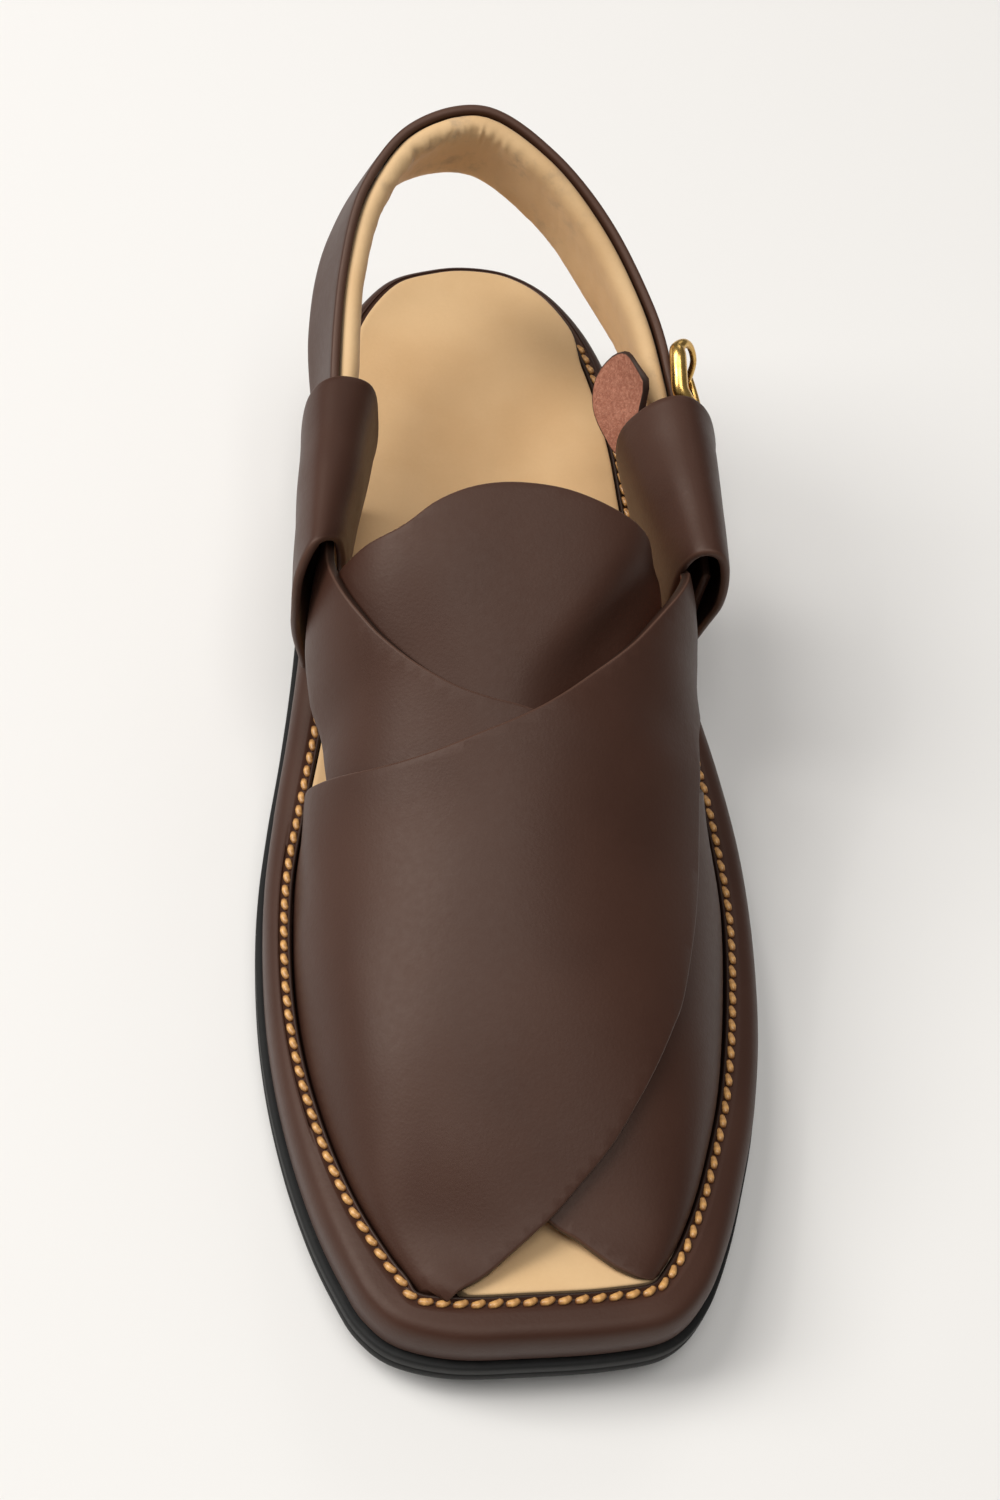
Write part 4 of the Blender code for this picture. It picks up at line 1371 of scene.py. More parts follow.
    def _shoulder_z(self, share: float, depth: float, y: float) -> float:
        """Height of the platform's shoulder.

        Args:
            share: the share of the way to the stitches.
            depth: how far below the rim the shoulder's table has it.
            y: the place along the shoe.

        Returns:
            The height above the floor.
        """
        crease = self.crease_depth * bump_at(share, self.crease_share, self.crease_reach)
        square = self.toe_square * bump_at(depth, self.square_depth, self.square_reach)
        squared = depth * (1 - square * eased((self.square_start - y) / self.square_fade))
        return self.kit.sole.rim(y) - squared - crease * eased((self.crease_start - y) / self.crease_fade)

    def _room_for_panels(self, x: float, y: float) -> float:
        """How much of the recess's width the panels' edges take.

        Args:
            x: the place across the shoe.
            y: the place along it.

        Returns:
            The width.
        """
        end = PanelForm.OUTER_END_Y if x > 0 else self.inner_room_end
        beside_toe = eased((abs(x - self.toe_gap_x) - self.toe_gap_half) / self.room_fade)
        toe = 1 - (1 - beside_toe) * eased((self.toe_gap_y - y) / 2.0)
        return (LEATHER + 3 * GAP) * toe * (1 - eased((y - end - 1.0) / self.room_fade))

    def _heel_share(self, x: float, y: float) -> float:
        """How far the insole's edge lies over the rim: 1 round the back of the heel, 0 elsewhere."""
        behind = eased((y - self.heel_start) / self.heel_fade)
        return behind * eased((self.heel_outer_x - x) / self.heel_outer_fade)

    def _insole_top(self, x: float, y: float) -> float:
        """The footbed: a little proud of the rim, with a dish for the heel.

        Args:
            x: the place across the shoe.
            y: the place along it.

        Returns:
            The height above the floor.
        """
        far = math.hypot((x - self.dish_x) / self.dish_wide, (y - self.dish_y) / self.dish_long)
        dish = 0.5 + 0.5 * math.cos(math.pi * min(far, 1.0))
        soft = noise.noise(Vector((x / 17, y / 23, 4.0))) * self.footbed_soft
        proud = self.insole_proud + self.heel_proud * self._heel_share(x, y)
        return self.kit.sole.rim(y) + proud - self.dish_depth * dish + soft

    def _insole(self) -> None:
        """Padded footbed with a soft edge."""
        sole, bm = self.kit.sole, bmesh.new()
        slot = sole.slot_room
        rings = []
        for extra, depth, cover in self.insole_edge:
            room = [
                self._room_for_panels(x, y) + extra - self.heel_cover * cover * self._heel_share(x, y)
                for x, y in slot
            ]
            ring = sole.moved_in(slot, room)
            rings.append([(x, y, self._insole_top(x, y) - depth) for x, y in ring])
        rows = skinned(bm, rings)
        bottom = self.insole_edge[0][1] - self.insole_proud
        capped(bm, rows[0], lambda p: sole.rim(p[1]) - bottom, self.hidden_slices)
        capped(bm, rows[-1], lambda p: self._insole_top(*p), self.footbed_slices)
        bmesh.ops.remove_doubles(bm, verts=bm.verts, dist=WELD)
        obj = self.kit.bench.piece("insole_leather", bm, self.kit.tan, Slot.TAN, ["insole"])

    def _stitches(self) -> None:
        """Golden lock stitches all round the rim, left out where the loops stand."""
        bm = bmesh.new()
        painted_light = bm.verts.layers.float.new("painted_light")
        rim = self.kit.sole.rim
        line = self.kit.sole.stitch_line(self.pitch)
        count = len(line)
        for i, (x, y) in enumerate(line):
            hidden = self._heel_share(x, y)
            if hidden > 0.5 or any(loop.stands_on(x, y) for loop in (INNER_LOOP, OUTER_LOOP)):
                continue
            (x0, y0), (x1, y1) = line[i - 1], line[(i + 1) % count]
            askew = noise.noise(Vector((i * 1.7, 0.0, 0.0))) * 0.12
            heading = math.atan2(y1 - y0, x1 - x0) + self.stitch_slant + askew
            uneven = noise.noise(Vector((i * 2.3, 5.0, 0.0))) * 0.05
            long = self.pitch * (self.stitch_long + uneven)
            place = Vector((x, y, rim(y) - self.stitch_sunk - 0.5 * hidden))
            slope = (rim(y1) - rim(y0)) / max(math.hypot(x1 - x0, y1 - y0), TINY)
            turn = Matrix.Rotation(heading, 4, "Z") @ Matrix.Rotation(-math.atan(slope), 4, "Y")
            shape = Matrix.Diagonal((long, self.stitch_wide, self.stitch_high, 1.0))
            made = bmesh.ops.create_uvsphere(bm, u_segments=10, v_segments=7, radius=1.0,
                                             matrix=Matrix.Rotation(math.pi / 2, 4, "Y"))
            self._twist_thread(made["verts"], painted_light)
            for vert in made["verts"]:
                vert.co = place + (turn @ shape @ vert.co)
        self.kit.bench.piece("rim_stitches", bm, self.kit.thread, Slot.BRASS)

    def _twist_thread(self, verts: Sequence[bmesh.types.BMVert], painted_light: bmesh.types.BMLayerItem) -> None:
        """Shapes a ball into a short twisted thread along X, with blunt ends, and marks its painted highlight
        and shade.

        Args:
            verts: the ball's vertices, 1 from its middle.
            painted_light: the point layer that says how light the thread is painted, dark at the ends and
                between the strands as painted shade.
        """
        for vert in verts:
            share = abs(vert.co.x)
            near_tip = min(share, 0.98)
            blunt = math.sqrt((1 - near_tip**self.stitch_blunt) / (1 - near_tip**2))
            strand = math.sin(vert.co.x * self.strand_turn + math.atan2(vert.co.y, vert.co.z))
            # painted light: dark towards the ends and between the strands as painted shade, light in the
            # middle as a painted highlight
            vert[painted_light] = (1 - share**3) * (1 - self.strand_light + self.strand_light * strand)
            fat = blunt * (1 + self.strand_proud * strand)
            vert.co = Vector((vert.co.x, vert.co.y * fat, vert.co.z * fat))


# --------------------------------------------------------------------------- crossed upper


@dataclass
class LeatherSheet:
    """A cut piece of leather that lies on the panels' surface.

    Attributes:
        strokes: its outline as smooth strokes of (a, y), with sharp corners between them.
        lift: how far its underside lies above the surface at (a, y).
        thick: its thickness.
        pared: the share of its thickness left at (a, y).
        spacing: distance between the slices that let it bend.
        round_off: how far its cut edges are rounded.
        edge_step: distance between the points of its cut edge.
    """

    form: PanelForm
    strokes: Sequence[Stroke]
    lift: Callable[[float, float], float]
    thick: float = LEATHER
    pared: Callable[[float, float], float] = lambda a, y: 1.0
    spacing: float = 2.4
    round_off: float = 0.5
    edge_step: float = 1.6
    FINE = 16  # points drawn for each given one of a stroke

    def outline(self, spacing: float) -> list[Point]:
        """The flat outline.

        Args:
            spacing: about how far apart its points are.

        Returns:
            The (a times ARC_LENGTH, y) points.
        """
        scale = PanelForm.ARC_LENGTH
        flat = []
        for points in self.strokes:
            path = smooth_path(points, False, self.FINE)
            reach = reach_of(path, (scale, 1.0))
            flat += respaced(path, reach, max(2, round(reach[-1] / spacing)))
        return [(a * scale, y) for a, y in flat]

    def _trimmed(self, outline: list[Point]) -> list[Point]:
        """The outline drawn in by the rounding.

        Args:
            outline: its points.

        Returns:
            The moved points.
        """
        count = len(outline)
        area = sum(x0 * y1 - x1 * y0 for (x0, y0), (x1, y1) in zip(outline, [*outline[1:], outline[0]]))
        sign = math.copysign(self.round_off, area)
        result = []
        for i, (x, y) in enumerate(outline):
            (x0, y0), (x1, y1) = outline[i - 1], outline[(i + 1) % count]
            length = max(math.hypot(x1 - x0, y1 - y0), TINY)
            result.append((x - (y1 - y0) / length * sign, y + (x1 - x0) / length * sign))
        return result

    def build(self) -> bmesh.types.BMesh:
        """Slices the flat piece, bends it onto the surface and gives it a rounded cut edge.

        Returns:
            The piece's mesh, in the pattern's millimetres.
        """
        bm = bmesh.new()
        sliced(bm, self._trimmed(self.outline(self.edge_step)), self.spacing)
        bmesh.ops.triangulate(bm, faces=[face for face in bm.faces if len(face.verts) > 4])
        cut_and_highlight = bm.verts.layers.float.new("cut_edge_and_highlight")
        flesh = bm.verts.layers.float.new("flesh")
        dyed = bm.verts.layers.float.new("dyed")
        shade_and_dark_lip = bm.verts.layers.float.new("shade_and_dark_lip")
        outer, inner = {}, {}
        for vert in bm.verts:
            a, y = vert.co.x / PanelForm.ARC_LENGTH, vert.co.y
            low = self.lift(a, y)
            outer[vert] = self.form.above(y, a, low + self.thick * self.pared(a, y))
            inner[vert] = self.form.above(y, a, low)
        copied = bmesh.ops.duplicate(bm, geom=[*bm.verts, *bm.edges, *bm.faces])["vert_map"]
        for vert, place in outer.items():
            copied[vert].co = inner[vert]
            copied[vert][flesh] = 1.0
            vert.co = place
        rim = [edge for edge in bm.edges if edge.is_boundary and edge.verts[0] in outer]
        self._rounded_edge(bm, rim, inner, cut_and_highlight, flesh, dyed, shade_and_dark_lip)
        bmesh.ops.remove_doubles(bm, verts=bm.verts, dist=WELD)
        return bm

    def _rounded_edge(self, bm: bmesh.types.BMesh, rim: list[bmesh.types.BMEdge],
                      inner: dict[bmesh.types.BMVert, Vector], *layers: object) -> None:
        """Pulls the outer face's rim outwards and down to the inner face.

        Args:
            bm: the mesh.
            rim: the outer face's boundary edges.
            inner: where each outer vertex has its twin on the inner face.
            layers: the point layers for the paler cut edge (partly a painted highlight), the flesh side, the
                dye and the painted shade.
        """
        cut_and_highlight, flesh, dyed, shade_and_dark_lip = layers
        away: dict[bmesh.types.BMVert, Vector] = {}
        for edge in rim:
            face = edge.link_faces[0]
            middle = (edge.verts[0].co + edge.verts[1].co) / 2
            along = (edge.verts[1].co - edge.verts[0].co).normalized()
            side = middle - face.calc_center_median()
            side = (side - along * side.dot(along)).normalized()
            for vert in edge.verts:
                away[vert] = away.get(vert, Vector()) + side
        start = {vert: vert.co.copy() for vert in away}
        down = {vert: inner[vert] - vert.co for vert in away}
        now, edges = {vert: vert for vert in away}, rim
        r, t = self.round_off, self.thick
        # From the outer face to the inner one: how far out, how far down, how pale the cut edge is (kept to
        # its upper part, partly a painted highlight) and how dark its lower part is (painted shade).
        profile = ((0.5 * r, 0.13 * r, 0.3, 0.0), (0.87 * r, 0.5 * r, 0.85, 0.0), (r, r, 0.3, 0.45),
                   (r, t - 0.45 * r, 0.0, 0.85), (0.75 * r, t - 0.1 * r, 0.0, 0.85), (0.0, t, 0.0, 0.0))
        for out, depth, worn, painted_shade in profile:
            made = bmesh.ops.extrude_edge_only(bm, edges=edges)["geom"]
            new = {item for item in made if isinstance(item, bmesh.types.BMVert)}
            edges = [item for item in made if isinstance(item, bmesh.types.BMEdge)]
            for vert, last in list(now.items()):
                copy = next(e.other_vert(last) for e in last.link_edges if e.other_vert(last) in new)
                copy.co = start[vert] + away[vert].normalized() * out + down[vert] * (depth / t)
                copy[cut_and_highlight], copy[flesh] = worn, 1.0 if depth == t else 0.0
                copy[dyed], copy[shade_and_dark_lip] = worn, painted_shade
                now[vert] = copy


@dataclass
class CrossedUpper:
    """Two crossed vamp panels over a wide tongue.

    The outlines are strokes of (a, y), in order round the piece.
    """

    kit: Kit
    tongue_skin: float = 1.4
    tongue_lining: float = 0.55
    tongue_hangs: float = 4.2
    OVER: tuple[Stroke, ...] = (
        # the stitched inner side, from the toe to the side opening
        ((-1.0, -124.6), (-1.0, -100.0), (-1.0, -60.0), (-1.0, -25.0)),
        # the rear edge, up over the instep to the outer loop
        ((-1.0, -25.0), (-0.985, -21.8), (-0.955, -19.6), (-0.91, -18.6), (-0.84, -19.4), (-0.65, -23.8),
         (-0.446, -27.3), (-0.289, -27.8), (-0.146, -25.9), (0.021, -21.9), (0.177, -15.1), (0.331, -6.9),
         (0.45, 2.7), (0.55, 12.0), (0.62, 18.0), (0.66, 30.0), (0.67, 45.0), (0.655, 51.0), (0.61, 54.5),
         (0.56, 57.5)),
        # the rounded strap tip behind the outer loop
        ((0.56, 57.5), (0.553, 62.0), (0.565, 66.5), (0.61, 70.2), (0.675, 71.6), (0.725, 68.0),
         (0.742, 58.0)),
        # the lower edge of the wing and the front edge, down to the toe
        ((0.742, 58.0), (0.75, 42.0), (0.77, 16.0), (0.765, 2.0), (0.7, -8.0), (0.61, -17.0), (0.576, -27.0),
         (0.58, -36.0), (0.575, -45.0), (0.562, -53.0), (0.538, -61.8), (0.488, -74.7), (0.434, -81.8),
         (0.382, -88.3), (0.329, -94.5), (0.25, -102.7), (0.137, -109.8), (0.031, -115.2), (-0.132, -120.9),
         (-0.333, -126.0), (-0.5, -127.5), (-0.75, -127.0), (-1.0, -124.6)),
    )
    UNDER: tuple[Stroke, ...] = (
        # the stitched outer side
        ((1.0, -119.8), (1.0, -100.0), (1.0, -60.0), (1.0, -13.0)),
        # the edge that runs below the other panel and then on to the inner loop
        ((1.0, -13.0), (0.86, -17.5), (0.7, -25.0), (0.55, -30.0), (0.45, -31.0), (0.2, -27.0),
         (0.027, -21.6), (-0.116, -18.9), (-0.236, -15.4), (-0.349, -9.8), (-0.427, -3.4), (-0.489, 3.8),
         (-0.54, 11.0), (-0.575, 17.0), (-0.59, 23.0)),
        # its end inside the inner loop
        ((-0.59, 23.0), (-0.605, 24.6), (-0.63, 23.0)),
        # the wing's lower edge and the front edge, down to the toe
        ((-0.63, 23.0), (-0.69, 16.5), (-0.75, 10.0), (-0.765, 0.0), (-0.75, -12.0), (-0.69, -23.0),
         (-0.65, -34.0), (-0.6, -46.0), (-0.52, -60.0), (-0.44, -76.0), (-0.34, -90.0), (-0.2, -103.0),
         (0.03, -115.0), (0.168, -119.0), (0.292, -122.7), (0.411, -125.6), (0.54, -126.6), (0.78, -123.8),
         (1.0, -119.8)),
    )
    TONGUE: tuple[Stroke, ...] = (
        # the wavy top edge
        ((-0.58, 14.6), (-0.52, 14.4), (-0.478, 14.5), (-0.367, 15.1), (-0.264, 19.0), (-0.151, 21.5),
         (-0.02, 22.2), (0.148, 20.9), (0.307, 17.6), (0.42, 14.6), (0.5, 13.2), (0.57, 12.6)),
        # the outer side
        ((0.57, 12.6), (0.57, 2.0), (0.52, -14.0), (0.44, -34.0)),
        # the hidden front edge
        ((0.44, -34.0), (0.24, -42.0), (0.0, -44.0), (-0.24, -42.0), (-0.44, -34.0)),
        # the inner side
        ((-0.44, -34.0), (-0.52, -14.0), (-0.58, 2.0), (-0.58, 14.6)),
    )
    guide_step: float = 5.0  # between the points of an outline that is only measured from
    # How far beyond the under panel's hidden edge the over panel settles onto the last, in front and behind.
    drape: float = 22.0
    drape_rear: float = 14.0
    drape_turn_y: float = -38.0
    drape_fade: float = 16.0
    # The strap's tip stands off the shoe, most along its upper edge, and is cut thinner.
    tip_stands: float = 4.5
    tip_start_y: float = 52.0
    tip_rise: float = 6.0
    tip_lean: float = 1.5
    tip_low_a: float = 0.74
    tip_lean_a: float = 0.18
    tip_ease: float = 0.3
    tip_ease_y: float = 64.0
    tip_fade: float = 8.0
    pared_start_y: float = 54.0
    pared_away: float = 0.5
    # The tongue hangs within this distance of the over panel's edge, from this line outwards.
    hang_reach: float = 9.0
    hang_start_a: float = -0.05
    hang_fade_a: float = 0.35
    tongue_round: float = 0.55
    # The lining is glued on and ends a little inside the tongue's edge.
    glue: float = 0.03
    lining_round: float = 0.2
    lining_narrower: float = 0.93
    lining_shorter: float = 1.5

    def build(self) -> None:
        """Makes the panels, the tongue and its lining."""
        kit = self.kit
        under = LeatherSheet(kit.panels, self.UNDER, lambda a, y: 0.0)
        hidden = under.outline(self.guide_step)

        def over_lift(a: float, y: float) -> float:
            """The over panel lies on the under panel, and settles onto the last beside it.

            Args:
                a: the place across the shoe.
                y: the place along it.

            Returns:
                How far its underside lies above the panels' inner face.
            """
            x = a * PanelForm.ARC_LENGTH
            far, _ = nearest_on(hidden, x, y)
            depth = far if inside(hidden, x, y) else -far
            in_front = eased((self.drape_turn_y - y) / self.drape_fade)
            drape = self.drape_rear + (self.drape - self.drape_rear) * in_front
            lean = self.tip_lean * eased((self.tip_low_a - a) / self.tip_lean_a) - 0.5
            ease = 1 - self.tip_ease * eased((y - self.tip_ease_y) / self.tip_fade)
            tip = eased((y - self.tip_start_y) / self.tip_rise) * lean * ease
            return (LEATHER + GAP) * eased((depth + drape) / (drape - 1.0)) + self.tip_stands * tip

        def pared(a: float, y: float) -> float:
            """The share of its thickness that the over panel keeps."""
            return 1 - self.pared_away * eased((y - self.pared_start_y) / self.tip_fade)

        over = LeatherSheet(kit.panels, self.OVER, over_lift, pared=pared)
        kit.bench.piece("under_panel", under.build(), kit.brown, Slot.BROWN)
        kit.bench.piece("over_panel", over.build(), kit.brown, Slot.BROWN, ["upper"])
        laid = over.outline(self.guide_step)

        def tongue_drop(a: float, y: float) -> float:
            """The tongue hangs away from the over panel's rear edge, most beside the outer loop.

            Args:
                a: the place across the shoe.
                y: the place along it.

            Returns:
                How far its top lies below the panels' inner face.
            """
            x = a * PanelForm.ARC_LENGTH
            far, _ = nearest_on(laid, x, y)
            clear = -far if inside(laid, x, y) else far
            beside = 1 - eased((clear - 1.0) / self.hang_reach)
            return 2 * GAP + self.tongue_hangs * beside * eased((a - self.hang_start_a) / self.hang_fade_a)

        skin = LeatherSheet(kit.panels, self.TONGUE, lambda a, y: -tongue_drop(a, y) - self.tongue_skin,
                            self.tongue_skin, round_off=self.tongue_round)
        kit.bench.piece("tongue_leather", skin.build(), kit.brown, Slot.BROWN, ["tongue"])
        below = self.tongue_skin + self.glue + self.tongue_lining
        drawn_in = [
            tuple((a * self.lining_narrower, y - self.lining_shorter) for a, y in stroke)
            for stroke in self.TONGUE
        ]
        lining = LeatherSheet(kit.panels, drawn_in, lambda a, y: -tongue_drop(a, y) - below,
                              self.tongue_lining, round_off=self.lining_round)
        kit.bench.piece("tongue_lining", lining.build(), kit.tan, Slot.TAN)


# --------------------------------------------------------------------------- loops


@dataclass(frozen=True)
class LoopPoint:
    """A point on a loop's middle at its front edge, and the same point's place at its rear edge."""

    front_x: float
    front_y: float
    front_z: float
    rear_x: float
    rear_z: float


@dataclass(frozen=True)
class SideLoop:
    """A band folded over the heel strap, both ends standing on the rim.

    Attributes:
        name: the piece's name.
        node: the model's node it stands for.
        rear_y: where its rear edge stands.
        rows: its middle, from the outer foot over the top to the foot beside the footbed.
        stations: points across the band.
        fine: rings for each row.
        round_off: radius of its long edges.
        foot_half: half of a foot's thickness with a little room.
        worn: how pale its cut edges are.
        painted_shade: how dark its inner face is, as painted shade inside the loop.
        soft_high: how uneven it is.
        soft_size: how far apart its unevenness varies.
        soft_fade: rings from a foot up to where it is fully uneven.
    """

    name: str
    node: str
    rear_y: float
    rows: tuple[LoopPoint, ...]
    stations: int = 22
    fine: int = 6
    round_off: float = 0.85
    foot_half: float = 1.75
    worn: float = 0.4
    # painted shade on the band's inner face, inside the loop
    painted_shade: float = 0.8
    soft_high: float = 0.35
    soft_size: float = 11.0
    soft_fade: int = 8

    def stands_on(self, x: float, y: float) -> bool:
        """Whether a place on the rim is under one of the band's feet.

        Args:
            x: the place across the shoe.
            y: the place along it.

        Returns:
            True under a foot.
        """
        for foot in (self.rows[0], self.rows[-1]):
            share = (y - foot.front_y) / (self.rear_y - foot.front_y)
            if -0.02 <= share <= 1.02:
                middle = foot.front_x + (foot.rear_x - foot.front_x) * share
                if abs(x - middle) < self.foot_half:
                    return True
        return False

    def _line(self, kit: Kit, share: float) -> list[Point]:
        """The band's middle from foot to foot.

        Args:
            kit: holds the sole that the feet stand on.
            share: the share of the way from the band's front edge to its rear edge.

        Returns:
            The (x, y, z) points.
        """
        points = []
        for row in self.rows:
            y = row.front_y + (self.rear_y - row.front_y) * share
            x = row.front_x + (row.rear_x - row.front_x) * share
            z = row.front_z + (row.rear_z - row.front_z) * share
            points.append((x, y, max(z, kit.sole.rim(y) + GAP)))
        return smooth_path(points, False, self.fine)

    def build(self, kit: Kit) -> None:
        """Lofts the band's rounded cross-section from foot to foot.

        Args:
            kit: what the pieces are made with.
        """
        half, last = LEATHER / 2, self.stations - 1
        lines = [self._line(kit, j / last) for j in range(self.stations)]
        section = band_section(range(self.stations), self.round_off)
        rings = []
        count = len(lines[0])
        for i in range(count):
            ring = []
            for j, aside, height in section:
                near = (i, max(i - 1, 0), min(i + 1, count - 1))
                here, before, after = (Vector(lines[j][k]) for k in near)
                run = after - before
                out = Vector((-run.z, 0.0, run.x)).normalized() * -math.copysign(1.0, lines[0][0][0])
                from_foot = eased(min(i, count - 1 - i) / self.soft_fade)
                soft = noise.noise(here / self.soft_size) * self.soft_high * from_foot
                ring.append(here + out * (height + soft) + Vector((0.0, aside, 0.0)))
            rings.append(ring)
        bm = bmesh.new()
        loft(bm, rings)
        cut_and_highlight = bm.verts.layers.float.new("cut_edge_and_highlight")
        shade_and_dark_lip = bm.verts.layers.float.new("shade_and_dark_lip")
        bm.verts.ensure_lookup_table()
        for n, vert in enumerate(bm.verts):
            j, _, height = section[n % len(section)]
            vert[cut_and_highlight] = self.worn if j in (0, last) and abs(height) < half - 0.1 else 0.0
            # painted shade on the band's inner face, inside the loop
            vert[shade_and_dark_lip] = self.painted_shade if height <= -half + 0.01 else 0.0
        kit.bench.piece(self.name, bm, kit.brown, Slot.BROWN, [self.node])


INNER_LOOP = SideLoop(
    "inner_loop_band",
    "loop_medial",
    59.0,
    (
        LoopPoint(-40.6, 18.0, 0.0, -34.0, 0.0),
        LoopPoint(-42.0, 17.0, 31.0, -36.6, 36.0),
        LoopPoint(-43.7, 14.4, 41.0, -39.0, 46.0),
        LoopPoint(-44.6, 12.4, 51.0, -40.0, 56.0),
        LoopPoint(-44.2, 13.0, 60.0, -39.4, 65.0),
        LoopPoint(-42.0, 15.4, 66.8, -36.6, 70.6),
        LoopPoint(-39.4, 17.2, 68.0, -32.2, 72.0),
        LoopPoint(-36.2, 19.6, 64.8, -27.2, 69.4),
        LoopPoint(-34.6, 21.5, 57.0, -25.4, 60.5),
        LoopPoint(-34.4, 21.5, 46.0, -25.0, 49.0),
        LoopPoint(-35.4, 21.5, 34.0, -27.2, 38.0),
        LoopPoint(-36.6, 21.5, 0.0, -30.8, 0.0),
    ),
)
OUTER_LOOP = SideLoop(
    "outer_loop_band",
    "loop_lateral",
    55.0,
    (
        LoopPoint(44.2, 17.0, 0.0, 41.2, 0.0),
        LoopPoint(44.4, 16.4, 31.0, 45.4, 32.6),
        LoopPoint(45.4, 14.6, 41.0, 49.6, 39.5),
        LoopPoint(46.5, 12.8, 51.0, 51.4, 48.5),
        LoopPoint(46.4, 12.8, 59.0, 50.1, 58.6),
        LoopPoint(44.4, 13.2, 65.4, 46.6, 67.2),
        LoopPoint(41.4, 13.6, 67.4, 41.4, 71.2),
        LoopPoint(38.4, 14.2, 65.6, 35.2, 69.2),
        LoopPoint(36.6, 15.0, 59.0, 30.4, 62.0),
        LoopPoint(36.6, 15.0, 49.0, 30.4, 53.0),
        LoopPoint(37.6, 15.0, 37.0, 34.6, 40.0),
        LoopPoint(41.2, 15.0, 0.0, 39.1, 0.0),
    ),
)


# --------------------------------------------------------------------------- heel strap


@dataclass(frozen=True)
class StrapRow:
    """The heel strap's outer face: its top edge and its lower edge at one place."""

    top_x: float
    top_y: float
    top_z: float
    low_x: float
    low_y: float
    low_z: float


